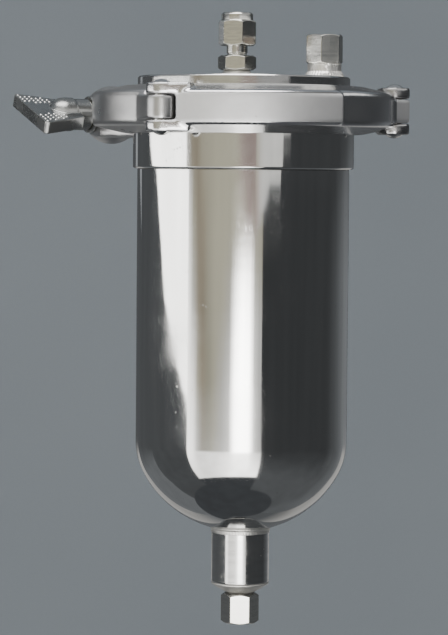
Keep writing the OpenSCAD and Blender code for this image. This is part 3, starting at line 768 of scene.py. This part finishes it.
class FILTER_OT_bowl(bpy.types.Operator):
    """Builds the bowl in one piece with its domed end, and the ferrule above it"""

    bl_idname = "filter.bowl"
    bl_label = "Bowl"

    def execute(self, context):
        shape = context.scene.filter_shape
        edge = shape.edge_radius
        low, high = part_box("bowl_shell")
        radius = reach("bowl_shell")
        bore = min(arm.length for arm in arms("bowl_shell"))
        wall = radius - bore
        hole = reach("drain_nipple") - NIPPLE_WALL
        outer = self.dome(radius, low.z, shape.knuckle_radius, hole)
        inner = [(r - wall * n.x, z - wall * n.y) for (r, z), n in outer]
        top = [(bore, high.z), (radius - edge, high.z), (radius, high.z - edge)]
        profile = held([Vector(p) for p in top], False)
        profile += [Vector(p) for p, _ in outer] + [Vector(p) for p in reversed(inner)]
        turned("bowl_polished", "bowl_shell", profile, polished_steel,
               replaced=["bowl_shell", "bowl_dome"])

        low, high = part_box("bowl_ferrule")
        flange = reach("bowl_ferrule", high.z - MM, high.z + MM)
        step = reach("bowl_ferrule", low.z - MM, low.z + 2 * MM)
        back = high.z - shape.flange_rim
        root = back - (flange - step) * math.tan(shape.flange_angle)
        corners = [(bore, high.z, edge), (flange, high.z, edge), (flange, back, edge),
                   (step, root, 4 * edge), (step, low.z + 2 * edge, edge),
                   (step - 2 * edge, low.z, edge), (bore, low.z, edge)]
        turned("ferrule_polished", "bowl_ferrule", corners, polished_steel)
        return {"FINISHED"}

    def crown(self, radius, knuckle, deep):
        """Radius of the dome's crown, for the depth of the whole dome."""
        return ((radius - knuckle) ** 2 + deep ** 2 - knuckle ** 2) / (2 * (deep - knuckle))

    def dome(self, radius, start, knuckle, hole):
        """Outer points of the dome with their outward directions, from the wall to the hole."""
        # The CAD node ends at the hole's edge, so the whole dome's depth is found in rounds.
        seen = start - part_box("bowl_dome")[0].z
        deep = seen
        for _ in range(40):
            crown = self.crown(radius, knuckle, deep)
            deep = seen + crown - math.sqrt(crown ** 2 - hole ** 2)
        crown = self.crown(radius, knuckle, deep)
        rise = crown - deep
        first = math.atan2(radius - knuckle, rise)
        last = math.asin(hole / crown)
        steps = 28
        points = []
        for k in range(steps + 1):
            a = -(math.pi / 2 - first) * k / steps
            n = Vector((math.cos(a), math.sin(a)))
            points.append(((radius - knuckle + knuckle * n.x, start + knuckle * n.y), n))
        for k in range(1, steps + 1):
            a = first + (last - first) * k / steps
            n = Vector((math.sin(a), -math.cos(a)))
            points.append(((crown * n.x, start + rise + crown * n.y), n))
        return points


class FILTER_OT_drain(bpy.types.Operator):
    """Builds the drain's nipple with its weld, the cone and the drain nut"""

    bl_idname = "filter.drain"
    bl_label = "Drain"

    def execute(self, context):
        shape = context.scene.filter_shape
        edge = shape.edge_radius
        low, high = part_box("drain_nipple")
        radius = reach("drain_nipple")
        bore = radius - NIPPLE_WALL
        corners = [(bore, low.z, edge), (radius, low.z, 2 * edge), (radius, high.z, edge),
                   (bore, high.z, edge)]
        turned("drain_nipple_polished", "drain_nipple", corners, turned_steel,
               slot="polished_steel")

        foot, top = (corner.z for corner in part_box("drain_weld"))
        wide = reach("drain_weld")
        toe = 0.12 * MM
        corners = [(radius - edge, foot - edge, 0), (radius + toe, foot, 0.1 * MM),
                   ((2 * radius + wide) / 3, (2 * foot + 3 * top) / 5, 0.8 * MM),
                   (wide, top - edge, 0.5 * MM), (wide, top + 2 * edge, 0),
                   (radius - edge, top, 0)]
        turned("drain_bead", "drain_nipple", corners, weld_steel, replaced=["drain_weld"],
               wave=ripple(shape))

        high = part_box("drain_body")[1].z
        nut_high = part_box("drain_nut")[1].z
        neck = reach("drain_body", nut_high, nut_high + 0.2 * MM)
        shoulder = nut_high + 0.6 * MM
        cone = reach("drain_body", shoulder - edge, shoulder + edge)
        sunk = nut_high - 0.3 * MM
        corners = [(0, high, 0), (radius, high, edge), (radius, high - 0.7 * MM, 2 * edge),
                   (cone, shoulder, 2 * edge), (neck, shoulder - edge, edge),
                   (neck, sunk, 0), (0, sunk, 0)]
        turned("drain_cone", "drain_nipple", corners, weld_steel, closed=False,
               replaced=["drain_body"], wave=ripple(shape, 0.5))
        tube_nut("drain")
        return {"FINISHED"}


def tube_nut(end, shoulder=0.0):
    """Builds a fitting's chamfered hexagon nut, and dresses the tube ring inside it."""
    node = f"{end}_nut"
    low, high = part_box(node)
    turn, width = hex_turn(node, low.z, high.z)
    top = (reach(node, high.z - shoulder / 2, high.z), high.z) if shoulder else None
    shell = hex_shell(width, low.z, high.z - shoulder, turn, TUBE_BORE, top)
    piece(f"{node}_machined", shell, machined_steel(), "machined_steel", [node],
          place=over(node), sharp=50)
    plain(f"{end}_tube_ring", machined_steel())


class FILTER_OT_inlet(bpy.types.Operator):
    """Builds the inlet fitting: its weld boss, body and nut"""

    bl_idname = "filter.inlet"
    bl_label = "Inlet fitting"

    def execute(self, context):
        shape = context.scene.filter_shape
        edge = shape.edge_radius
        low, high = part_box("inlet_boss")
        wide = reach("inlet_boss")
        tall = high.z - low.z
        corners = [(0, high.z, 0), (wide * 0.84, high.z, 2 * edge),
                   (wide * 0.97, low.z + tall * 0.58, 2 * MM),
                   (wide + 0.2 * MM, low.z + tall * 0.2, 0.6 * MM),
                   (wide + 0.9 * MM, low.z - edge, 0), (0, low.z - edge, 0)]
        turned("inlet_bead", "inlet_boss", corners, weld_steel, closed=False,
               wave=ripple(shape, 1.2, BEAD_CORE))

        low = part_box("inlet_body")[0].z
        hexagon_height, passage = 6.1 * MM, 2.2 * MM
        top = low + hexagon_height
        turn, width = hex_turn("inlet_body", low, top)
        piece("inlet_hexagon", hex_shell(width, low, top, turn, passage), machined_steel(),
              "machined_steel", ["inlet_body"], place=over("inlet_boss"), sharp=50)
        neck, groove = 4.4 * MM, 0.35 * MM
        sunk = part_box("inlet_nut")[0].z + 0.5 * MM
        corners = [(0, sunk, 0), (neck, sunk, edge), (neck, top + 1.1 * MM, edge),
                   (neck - groove, top + 0.8 * MM, edge), (neck - groove, top + 0.4 * MM, edge),
                   (neck + 0.2 * MM, top - edge, 0), (0, top - edge, 0)]
        turned("inlet_neck", "inlet_boss", corners, machined_steel, closed=False,
               replaced=["inlet_body"])
        tube_nut("inlet", shoulder=3.2 * MM)
        return {"FINISHED"}


class FILTER_OT_outlet(bpy.types.Operator):
    """Builds the outlet fitting: its weld ring, body and nut"""

    bl_idname = "filter.outlet"
    bl_label = "Outlet fitting"

    def execute(self, context):
        shape = context.scene.filter_shape
        edge = shape.edge_radius
        low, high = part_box("outlet_weld")
        wide = reach("outlet_weld")
        body = reach("outlet_body", high.z, high.z + 3 * MM)
        tall = high.z - low.z
        corners = [(0, high.z, 0), (body, high.z, edge),
                   (body + 0.7 * MM, low.z + 0.6 * tall, 0.8 * MM),
                   (wide - 0.1 * MM, low.z + 0.35 * tall, 0.6 * MM),
                   (wide + 0.3 * MM, low.z - edge, 0), (0, low.z - edge, 0)]
        turned("outlet_bead", "outlet_weld", corners, weld_steel, closed=False,
               wave=ripple(shape, 2.2, BEAD_CORE))
        nut_low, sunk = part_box("outlet_nut")[0].z, 0.4 * MM
        corners = [(0, nut_low + sunk, 0), (body - sunk, nut_low + sunk, edge),
                   (body, nut_low - 0.2 * MM, 2 * edge), (body, high.z - edge, 0),
                   (0, high.z - edge, 0)]
        turned("outlet_collar", "outlet_weld", corners, weld_steel, closed=False,
               replaced=["outlet_body"], wave=ripple(shape, 0.8, BEAD_CORE))
        tube_nut("outlet")
        return {"FINISHED"}


def cast(name, node, material, slot, body, voxel, smoothing):
    """Copies a CAD node, and rounds all its edges and inner corners as a casting has them."""
    mesh = frame["nodes"][node].data.copy()
    mesh.name = name
    work = welded(mesh, 1e-6)
    work.to_mesh(mesh)
    work.free()
    obj = dressed(name, mesh, material, [node], body)
    remesh = obj.modifiers.new("Casting", "REMESH")
    remesh.mode = "VOXEL"
    remesh.voxel_size = voxel
    remesh.use_smooth_shade = True
    smooth = obj.modifiers.new("Tumbled edges", "SMOOTH")
    smooth.factor = 0.5
    smooth.iterations = smoothing
    return obj


class FILTER_OT_clamp(bpy.types.Operator):
    """Builds the clamp's three cast segments and their pins"""

    bl_idname = "filter.clamp"
    bl_label = "Clamp"

    def execute(self, context):
        shape = context.scene.filter_shape
        # The right segment gets the darker copy of the cast steel as painted shade.
        for side, look in (("front", padded_steel), ("left", cast_steel),
                           ("right", shaded_cast_steel)):
            cast(f"clamp_{side}_casting", f"clamp_{side}_segment", look(), "cast_steel",
                 "filter", shape.cast_voxel, shape.cast_smoothing)
        for node in ("left_hinge_pin", "right_hinge_pin", "bolt_pivot_pin"):
            turned(f"{node}_domed", node, self.pin(*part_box(node)), polished_steel, closed=False)
        return {"FINISHED"}

    def pin(self, low, high):
        """Profile of a pin with a domed cap at each end, from the top down."""
        shaft, head, cap, edge = 3 * MM, 3.6 * MM, 1.5 * MM, 0.1 * MM
        curve = (head ** 2 + cap ** 2) / (2 * cap)
        steps = 12
        profile = []
        for end, sign in ((high.z, 1), (low.z, -1)):
            radii = [head * k / steps for k in range(steps + 1)]
            arc = [(r, end - sign * (curve - math.sqrt(curve ** 2 - r ** 2))) for r in radii]
            under = end - sign * (cap + edge)
            arc += [(head - edge, under), (shaft, under)]
            profile += arc if sign > 0 else arc[::-1]
        return held([Vector(p) for p in profile], False)


def placement(point, *axes):
    """Placement at a point, with the directions of its three axes."""
    return Matrix.Translation(point) @ Matrix(axes).transposed().to_4x4()


class FILTER_OT_swing_bolt(bpy.types.Operator):
    """Builds the eye bolt with its rolled thread, and the washer"""

    bl_idname = "filter.swing_bolt"
    bl_label = "Swing bolt"

    def execute(self, context):
        shape = context.scene.filter_shape
        edge = shape.edge_radius
        pivot, _ = joint_line("bolt_swing")
        _, along = joint_line("wing_nut_turn")
        level = Vector((0, 0, 1)).cross(along).normalized()
        place = placement(pivot, level, along.cross(level), along)
        low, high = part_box("swing_bolt")
        half = (high.z - low.z) / 2
        back, end = span_along("swing_bolt", pivot, along)
        eye, radius = -back, 4 * MM
        corners = [(EYE_BORE, -half, edge), (eye, -half, 2 * edge), (eye, half, 2 * edge),
                   (EYE_BORE, half, edge)]
        turned("bolt_eye", "swing_bolt", corners, machined_steel, body="swing_bolt",
               place=Matrix.Translation(pivot))
        self.shank(shape, place, radius, eye * 0.75, end)

        start, stop = span_along("nut_washer", pivot, along)
        wide = girth("nut_washer", pivot, along, start - MM, stop + MM)
        bore = radius + 0.05 * MM
        corners = [(bore, start, edge), (wide, start, edge), (wide, stop, edge),
                   (bore, stop, edge)]
        turned("washer_machined", "nut_washer", corners, machined_steel, body="swing_bolt",
               place=place)
        return {"FINISHED"}

    def shank(self, shape, place, radius, start, end):
        """Builds the bolt's shank with a helical thread that fades out towards the eye."""
        around, rows_per_turn, plain_length, point = 40, 6, 6 * MM, 1.2 * MM
        lead = shape.thread_lead
        heights = [start]
        while heights[-1] + lead / rows_per_turn < end - lead / rows_per_turn:
            heights.append(heights[-1] + lead / rows_per_turn)
        heights.append(end)
        columns = []
        for i in range(around):
            angle = 2 * math.pi * i / around
            column = [(0, 0, start)]
            for z in heights:
                share = min(max((z - start - plain_length) / (2 * lead), 0), 1)
                share *= min(max((end - z) / (1.5 * lead), 0.15), 1)
                ridge = abs(2 * ((z / lead - i / around) % 1) - 1)
                cut = shape.thread_depth * share * min(max(1.25 * ridge - 0.12, 0), 1)
                trim = max(0.0, z - (end - point)) * 0.9
                column.append(spun(radius - max(cut, trim), angle, z))
            columns.append(column + [(0, 0, end)])
        piece("bolt_thread", skin(columns, False), machined_steel(), "machined_steel",
              ["swing_bolt"], "swing_bolt", place, sharp=60)


class FILTER_OT_wing_nut(bpy.types.Operator):
    """Builds the cast wing nut with the bumps on its wings"""

    bl_idname = "filter.wing_nut"
    bl_label = "Wing nut"

    def execute(self, context):
        shape = context.scene.filter_shape
        # The nut is smaller than the clamp, so its cells are finer and its edges crisper.
        voxel, smoothing = shape.cast_voxel * 0.6, 5
        cast("wing_nut_casting", "wing_nut", dark_casting(), "polished_casting", "wing_nut",
             voxel, smoothing)
        self.bumps(shape)
        return {"FINISHED"}

    def bumps(self, shape):
        """Covers both faces of both wings' outer ends with small bumps in staggered rows."""
        point, along = joint_line("wing_nut_turn")
        start, end = span_along("wing_nut", point, along)
        half_span = girth("wing_nut", point, along, end - 3 * MM, end)
        normal, thick = self.plate(point, along)
        # The wings' outline runs straight from its root to its end; bumps keep within a border.
        root_half, root = 11 * MM, start + 7.6 * MM
        border, inmost, lowest = 1.6 * MM, 7.2 * MM, end - 13.5 * MM
        pitch, size = shape.grip_pitch, shape.grip_radius
        shell = [], []
        row, z = 0, end - 1.5 * MM
        while z > lowest:
            edge = root_half + (half_span - root_half) * (z - root) / (end - root) - border
            x = edge - (pitch / 2 if row % 2 else 0)
            while x > inmost:
                for wing in (1, -1):
                    for face in (1, -1):
                        self.bump(shell, wing * x, face * thick, face, z, size)
                x -= pitch
            z -= pitch * 0.87
            row += 1
        # The bumps get a lighter copy of the casting's colour as a painted highlight.
        piece("wing_nut_grip", shell, highlighted_bumps(), "polished_casting", [], "wing_nut",
              placement(point, along.cross(normal).normalized(), normal, along), sharp=60)

    def plate(self, point, along):
        """Direction square to the wings' plate, and half its thickness, from its far points."""
        offsets = [square_to(p - point, along) for p in points_of("wing_nut")]
        across = max(offsets, key=lambda arm: arm.length)
        tips = [arm for arm in offsets
                if arm.length > across.length * 0.97 and arm.dot(across) > 0]
        normal = along.cross(sum(tips, Vector()) / len(tips)).normalized()
        return normal, max(abs(arm.dot(normal)) for arm in tips)

    def bump(self, shell, x, y, outward, z, size):
        """Adds one low dome on a face of the wing."""
        vertices, faces = shell
        rings, around, height, sunk = 4, 12, 0.62, 0.12
        first = len(vertices)
        for k in range(rings + 1):
            rise = math.radians(90 * k / rings)
            level = y + outward * size * (math.sin(rise) * height - sunk)
            for i in range(around):
                dx, dz, _ = spun(size * math.cos(rise), 2 * math.pi * i / around, 0)
                vertices.append((x + dx, level, z + dz))
        for k in range(rings):
            for i in range(around):
                a, b = first + k * around + i, first + k * around + (i + 1) % around
                faces.append((a, b, b + around, a + around))


# ---------------------------------------------------------------- stage


def bracket(stops, place):
    """Neighbours of a place among stops that start with their own places, and the share."""
    one = ([s for s in stops if s[0] <= place] or [stops[0]])[-1]
    two = ([s for s in stops if s[0] > place] or [stops[-1]])[0]
    return one, two, (place - one[0]) / (two[0] - one[0]) if two[0] > one[0] else 0.0


def strength(stops, elevation, light):
    """Colour times strength at an elevation, from stops of (elevation, strength, colour)."""
    (_, s0, c0), (_, s1, c1), share = bracket(stops, elevation)
    return [light * (a * s0 * (1 - share) + b * s1 * share) for a, b in zip(c0, c1)]


def blend(columns, azimuth, elevation, light):
    """Light in a direction, blended between columns of (azimuth, stops...)."""
    one, two, share = bracket(columns, azimuth)
    return [u * (1 - share) + v * share for u, v in zip(strength(one[1:], elevation, light),
                                                        strength(two[1:], elevation, light))]


def between(edges):
    """Edges with steps of at most 3 degrees between them."""
    out = [edges[0]]
    for one, two in zip(edges, edges[1:]):
        steps = max(1, math.ceil(abs(two[0] - one[0]) / 3))
        out += [tuple(a + (b - a) * k / steps for a, b in zip(one, two))
                for k in range(1, steps + 1)]
    return out


class FILTER_OT_stage(bpy.types.Operator):
    """Builds the floor with its round backdrop, the light panels, the flags and the camera"""

    bl_idname = "filter.stage"
    bl_label = "Stage"

    def execute(self, context):
        setup = context.scene.filter_stage
        lowest = FIRST_BOUNDS[0].z
        centre = middle("bowl_shell")
        centre.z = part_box("bowl_ferrule")[0].z
        self.room(setup, centre, lowest - setup.floor_drop)
        self.world()
        for name, edges, *columns in PANELS:
            self.panel(setup, centre, name, edges, columns)
        self.low_flag(setup, centre, lowest - setup.floor_drop * 0.97)
        self.overhead(setup, centre)
        self.camera(setup, centre)
        return {"FINISHED"}

    def shown(self, obj):
        """Puts an object of the stage in the scene."""
        bpy.context.scene.collection.objects.link(obj)
        return obj

    def staged(self, name, vertices, faces, material):
        """A smooth surface of the stage."""
        mesh = bpy.data.meshes.new(name)
        mesh.from_pydata([tuple(v) for v in vertices], [], faces)
        mesh.materials.append(material)
        mesh.shade_smooth()
        return self.shown(bpy.data.objects.new(name, mesh))

    def painted(self, name, vertices, faces, colours, towards):
        """A surface that gives light towards a point, which only the reflections show."""
        obj = self.staged(name, vertices, faces, self.glow())
        paint = obj.data.color_attributes.new("Light", "FLOAT_COLOR", "POINT")
        for point, colour in zip(paint.data, colours):
            point.color = (*colour, 1.0)
        obj.visible_camera = obj.visible_shadow = False
        centre = Vector(vertices[len(vertices) // 2])
        if obj.data.polygons[0].normal.dot(towards - centre) < 0:
            obj.data.flip_normals()
        return obj

    def room(self, setup, centre, floor):
        """A pale floor that curves up into a round backdrop."""
        radius, cove, wall, steps, around = setup.room_radius, 0.9, 4.6, 12, 96
        # The cove takes over after eight of the floor's twelve steps.
        profile = [(radius * k / steps, floor) for k in range(9)]
        for k in range(steps + 1):
            a = math.pi / 2 * k / steps
            profile.append((radius - cove + cove * math.sin(a), floor + cove - cove * math.cos(a)))
        profile.append((radius, floor + wall))
        columns = [[spun(r, 2 * math.pi * i / around, z) for r, z in profile]
                   for i in range(around)]
        obj = self.staged("stage_room", *skin(columns, False), self.paper())
        obj.location = (centre.x, centre.y, 0)

    def paper(self):
        """Pale matt backdrop paper with a soft unevenness."""
        material, nodes, shader = fresh("Backdrop paper")
        spot = nodes.spot()
        cloud, fibre = nodes.noise(spot, 0.9, 3.0), nodes.noise(spot, 420.0, 3.0)
        tint = nodes.blended(nodes.ranged(cloud, 0.3, 0.7), (0.62, 0.665, 0.70, 1.0),
                             (0.56, 0.60, 0.64, 1.0))
        tint = nodes.blended(nodes.ranged(fibre, 0.4, 0.6, 0.0, 0.06), tint,
                             (0.45, 0.48, 0.52, 1.0))
        nodes.feed(shader, tint, nodes.ranged(fibre, 0.3, 0.7, 0.85, 0.95),
                   nodes.bump(fibre, 0.0002, 0.1))
        shader.inputs["Specular IOR Level"].default_value = 0.15
        return material

    def glow(self):
        """Light from a surface's front only, as strong as its colour attribute says."""
        name = "Panel glow"
        if name in bpy.data.materials:
            return bpy.data.materials[name]
        material, nodes, shader = fresh(name)
        nodes.tree.nodes.remove(shader)
        uneven = nodes.noise(nodes.spot(), 3.0)
        back = nodes.add("ShaderNodeNewGeometry").outputs["Backfacing"]
        light = nodes.add("ShaderNodeEmission", {
            "Color": nodes.add("ShaderNodeVertexColor", layer_name="Light").outputs["Color"],
            "Strength": nodes.times(nodes.minus(1.0, back),
                                    nodes.ranged(uneven, 0.2, 0.8, 0.92, 1.08))})
        nodes.tree.links.new(light.outputs[0],
                             nodes.tree.nodes["Material Output"].inputs["Surface"])
        return material

    def world(self):
        """A faint even light from all sides."""
        world = bpy.data.worlds.new("Studio")
        world.use_nodes = True
        background = world.node_tree.nodes["Background"]
        background.inputs["Color"].default_value = (0.86, 0.93, 1.0, 1.0)
        background.inputs["Strength"].default_value = 0.35
        bpy.context.scene.world = world

    def panel(self, setup, centre, name, edges, looks):
        """A curved light panel, from edges of (azimuth, low, high) and columns of light."""
        radius, rows = setup.panel_radius, 40
        vertices, colours = [], []
        edges = between(edges)
        for azimuth, low, high in edges:
            for m in range(rows + 1):
                e = low + (high - low) * m / rows
                a, tilt = math.radians(azimuth), math.radians(e)
                vertices.append((centre.x + radius * math.sin(a) * math.cos(tilt),
                                 centre.y - radius * math.cos(a) * math.cos(tilt),
                                 centre.z + radius * math.sin(tilt)))
                colours.append(blend(looks, azimuth, e, setup.light))
        faces = []
        for i in range(len(edges) - 1):
            for a in range(i * (rows + 1), i * (rows + 1) + rows):
                faces.append((a, a + rows + 1, a + rows + 2, a + 1))
        self.painted("stage_" + name, vertices, faces, colours, centre)

    def low_flag(self, setup, centre, height):
        """A dark disc over the floor, which only the reflections show."""
        around, shift, dark = 72, 0.45, (0.066, 0.071, 0.077)
        radii = [1.5 * setup.panel_radius * k / 10 for k in range(11)]
        columns = [[spun(r, 2 * math.pi * i / around, height) for r in radii]
                   for i in range(around)]
        vertices, faces = skin(columns, False)
        obj = self.painted("stage_low_flag", vertices, faces, [dark] * len(vertices),
                           Vector((0, 0, height + 1)))
        obj.location = (centre.x + shift, centre.y, 0)

    def overhead(self, setup, centre):
        """A wide soft light above the filter."""
        data = bpy.data.lights.new("Overhead softbox", "AREA")
        data.shape = "RECTANGLE"
        data.size, data.size_y = 1.6, 1.2
        data.energy = 45 * setup.light
        data.color = (1.0, 0.985, 0.96)
        light = self.shown(bpy.data.objects.new("stage_overhead", data))
        light.location = (centre.x - 0.3, centre.y - 0.5, 1.5)
        light.visible_camera = False

    def camera(self, setup, centre):
        """The camera in front of the clamp, turned, tilted down and rolled a little."""
        swing, tilt, roll, raised = 0.385, 90 - 3.2, 0.45, 0.9 * MM
        data = bpy.data.cameras.new("Camera")
        data.lens = setup.focal_length
        data.sensor_width = 36.0
        camera = self.shown(bpy.data.objects.new("Camera", data))
        camera.location = (centre.x, centre.y - setup.camera_distance, centre.z + raised)
        aim = Matrix.Identity(4)
        for degrees, axis in ((swing, "Z"), (tilt, "X"), (roll, "Z")):
            aim = aim @ Matrix.Rotation(math.radians(degrees), 4, axis)
        camera.rotation_euler = aim.to_euler()
        bpy.context.scene.camera = camera


WHITE, CREAM, BROWN = (1.0, 0.99, 0.96), (1.0, 0.95, 0.74), (1.0, 0.87, 0.66)
ROSE, COOL = (1.0, 0.78, 0.72), (0.9, 0.95, 1.0)
# The light that every part of the front gives from high up, in stops.
HIGH_FRONT = ((20, 0.6, CREAM), (24, 2.6, WHITE), (35, 2.6, WHITE), (40, 0.38, WHITE))
# Each has its name, its edges as (azimuth, lowest, highest elevation) and its columns of light
# as (azimuth, stops...), with stops of (elevation, strength, colour). Angles are in degrees.
# Azimuth 0 is behind the camera, and negative ones are to its left.
PANELS = (
    ("left_window", ((-113, 1.2, 28), (-105, -0.5, 28), (-92, -4.6, 28), (-80, -6.2, 28),
                     (-60, -8.6, 28)),
     (0, (2.4, 5.2, WHITE), (2.8, 0.22, COOL), (13, 0.22, COOL), (19, 1.8, WHITE))),
    ("left_slit", ((-150, -0.2, 9), (-143, -2.2, 9)),
     (0, (0, 0.45, COOL))),
    ("front", ((-60, -50, 56), (13, -50, 56)),
     (-61, (-50, 2.4, WHITE), (-9, 4.0, WHITE), (-5.7, 4.0, WHITE), (-3.2, 3.0, WHITE),
           (-1.1, 1.9, WHITE), (0.7, 0.66, WHITE), *HIGH_FRONT),
     (-54, (-50, 2.2, WHITE), (-9.5, 3.8, WHITE), (-8.2, 2.8, WHITE), (-5.7, 1.0, WHITE),
           (-3.2, 0.66, CREAM), (-1.1, 0.58, CREAM), (0.7, 0.38, BROWN), *HIGH_FRONT),
     (-48, (-50, 2.2, WHITE), (-13, 2.2, WHITE), (-9.9, 1.1, WHITE), (-8.2, 0.72, CREAM),
           (-5.7, 0.47, BROWN), (-1.1, 0.38, BROWN), (0.7, 0.4, BROWN), *HIGH_FRONT),
     (-42, (-50, 2.2, WHITE), (-13, 2.2, WHITE), (-9.9, 0.42, BROWN), (-8.2, 0.48, BROWN),
           (-5.7, 0.31, BROWN), (-3.2, 0.41, BROWN), (-1.1, 0.5, BROWN), (0.7, 0.6, CREAM),
           *HIGH_FRONT),
     (-36, (-50, 2.4, WHITE), (-13, 2.4, WHITE), (-9.9, 0.45, CREAM), (-5.7, 0.45, CREAM),
           (-3.2, 0.55, CREAM), (-1.1, 0.66, CREAM), (0.7, 0.6, CREAM), *HIGH_FRONT),
     (-30, (-50, 2.6, WHITE), (-13, 2.4, WHITE), (-9.9, 0.65, CREAM), (-5.7, 0.6, CREAM),
           (-3.2, 0.67, CREAM), (0.7, 0.63, CREAM), *HIGH_FRONT),
     (-20, (-50, 3.4, WHITE), (-13, 2.8, WHITE), (-9.9, 0.9, WHITE), (-8.2, 0.9, WHITE),
           (-5.7, 0.66, CREAM), (0.7, 0.66, CREAM), *HIGH_FRONT),
     (-12, (-50, 4.5, WHITE), (-13, 4.0, WHITE), (-9.9, 1.3, WHITE), (-8.2, 1.7, WHITE),
           (-5.7, 0.8, WHITE), (-3.2, 0.73, CREAM), (0.7, 0.65, CREAM), *HIGH_FRONT),
     (-7, (-50, 4.5, WHITE), (-14, 6.0, WHITE), (-10, 13.0, WHITE), (-6, 12.0, WHITE),
          (-4.2, 0.9, WHITE), (-3.2, 0.78, CREAM), (0.7, 0.65, CREAM), *HIGH_FRONT),
     (0, (-50, 4.5, WHITE), (-14, 6.0, WHITE), (-10, 15.0, WHITE), (-5.2, 15.0, WHITE),
         (-3.6, 1.0, WHITE), (-2.6, 0.8, CREAM), (-1.1, 0.55, ROSE), (0.7, 0.42, ROSE),
         *HIGH_FRONT),
     (7, (-50, 4.5, WHITE), (-14, 6.0, WHITE), (-10, 15.0, WHITE), (-5.2, 13.0, WHITE),
         (-3.8, 1.0, WHITE), (-2.6, 0.66, ROSE), (-1.1, 0.38, ROSE), (0.7, 0.42, ROSE),
         *HIGH_FRONT),
     (12, (-50, 4.5, WHITE), (-14, 3.0, WHITE), (-9.9, 1.9, WHITE), (-5.7, 1.6, WHITE),
          (-3.2, 0.68, CREAM), (-1.1, 0.46, ROSE), (0.7, 0.44, ROSE), *HIGH_FRONT)),
    ("front_edge", ((13, -50, -2.5), (21, -50, -1.6)),
     (13, (-50, 4.5, WHITE), (-14, 3.0, WHITE), (-9.9, 1.9, WHITE), (-5.7, 1.5, WHITE),
          (-3.2, 0.68, CREAM)),
     (18, (-50, 4.5, WHITE), (-14, 2.0, WHITE), (-9.9, 0.9, WHITE), (-5.7, 0.9, WHITE),
          (-3.2, 0.62, CREAM))),
    ("right_window", ((13, -2.4, 14), (29, -0.6, 14), (40, -0.5, 14), (41, 1.2, 14),
                      (49, 1.4, 14)),
     (14, (-1.6, 0.6, ROSE), (0.7, 0.62, CREAM), (2.4, 0.9, WHITE), (2.8, 0.16, COOL),
          (14, 0.16, COOL)),
     (20, (2.4, 1.15, WHITE), (2.8, 0.16, COOL), (14, 0.16, COOL))),
    ("right_flag", ((21, -70, -1.7), (29, -70, -0.7), (119, -70, -0.7)),
     (105, (-45, 0.13, COOL), (-25, 0.085, COOL), (-12, 0.062, COOL)),
     (119, (-45, 0.13, COOL), (-25, 0.13, COOL), (-3, 0.1, COOL), (-0.8, 0.07, COOL))),
    ("right_high_flag", ((40, -0.7, -0.5), (41, -0.7, 1.2), (49, -0.7, 1.4), (49, -0.7, 11),
                         (119, -0.7, 11)),
     (0, (0, 0.068, COOL))),
    ("right_high_window", ((13, 14, 60), (112, 14, 60)),
     (0, (14, 1.6, WHITE), (33, 1.6, WHITE), (39, 0.2, WHITE))),
    ("right_back", ((119, -70, 28), (146, -70, 28)),
     (119, (-60, 0.13, COOL), (-3, 0.1, COOL), (-0.8, 0.07, COOL), (2, 0.07, COOL),
           (4, 0.09, COOL)),
     (132, (-60, 0.15, COOL), (-3, 0.17, COOL), (-1.1, 0.13, COOL), (1, 0.08, COOL),
           (4, 0.09, COOL)),
     (144, (-60, 0.15, COOL), (-12, 0.23, COOL), (-3, 0.22, COOL), (-1.1, 0.18, COOL),
           (0.7, 0.12, COOL), (3, 0.09, COOL))),
    ("rear_right", ((146, -70, 28), (166, -70, 28)),
     (0, (-60, 0.13, COOL), (-42, 0.42, WHITE), (-14, 0.5, WHITE), (-10, 0.23, COOL),
         (-3, 0.23, COOL), (-1.1, 0.18, COOL), (0.7, 0.13, COOL), (3, 0.09, COOL))),
    ("rear_middle", ((166, -70, 28), (191, -70, 28)),
     (0, (-60, 0.13, COOL), (-25, 0.16, COOL), (-12, 0.09, COOL))),
    ("rear_left", ((-169, -60, 28), (-152, -60, 28)),
     (0, (-60, 0.2, COOL), (-42, 0.42, WHITE), (-14, 0.5, WHITE), (-10, 0.1, COOL))),
    ("left_flag", ((-152, -60, 28), (-150, -60, 28), (-150, -60, -0.3), (-143, -60, -2.3),
                   (-143, -60, 28), (-113, -60, 28)),
     (0, (-60, 0.2, COOL), (-25, 0.2, COOL), (-12, 0.105, COOL))),
    ("left_low_flag", ((-113, -60, 1.1), (-105, -60, -0.6), (-92, -60, -4.7), (-80, -60, -6.3),
                       (-60, -60, -8.7)),
     (0, (0, 0.105, COOL))),
)


class FILTER_PT_panel(bpy.types.Panel):
    """Settings and build steps of the coalescing filter"""

    bl_idname = "FILTER_PT_panel"
    bl_label = "Coalescing filter"
    bl_space_type = "VIEW_3D"
    bl_region_type = "UI"
    bl_category = "Filter"

    def draw(self, context):
        for setting, group in SETTINGS.items():
            box = self.layout.box()
            for name in group.__annotations__:
                box.prop(getattr(context.scene, setting), name)
        for operator in OPERATORS:
            self.layout.operator(operator.bl_idname)


SETTINGS = {"filter_shape": FilterShapeSettings, "filter_finish": FilterFinishSettings,
            "filter_stage": FilterStageSettings}
OPERATORS = (FILTER_OT_head, FILTER_OT_bowl, FILTER_OT_drain, FILTER_OT_inlet, FILTER_OT_outlet,
             FILTER_OT_clamp, FILTER_OT_swing_bolt, FILTER_OT_wing_nut, FILTER_OT_stage)
CLASSES = (*SETTINGS.values(), *OPERATORS, FILTER_PT_panel)


def register():
    for cls in CLASSES:
        bpy.utils.register_class(cls)
    for setting, group in SETTINGS.items():
        setattr(bpy.types.Scene, setting, PointerProperty(type=group))


def unregister():
    for setting in SETTINGS:
        delattr(bpy.types.Scene, setting)
    for cls in reversed(CLASSES):
        bpy.utils.unregister_class(cls)


def main():
    register()
    make_effects()
    for operator in OPERATORS:
        getattr(bpy.ops.filter, operator.bl_idname.partition(".")[2])()
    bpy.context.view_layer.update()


if __name__ == "__main__":
    main()
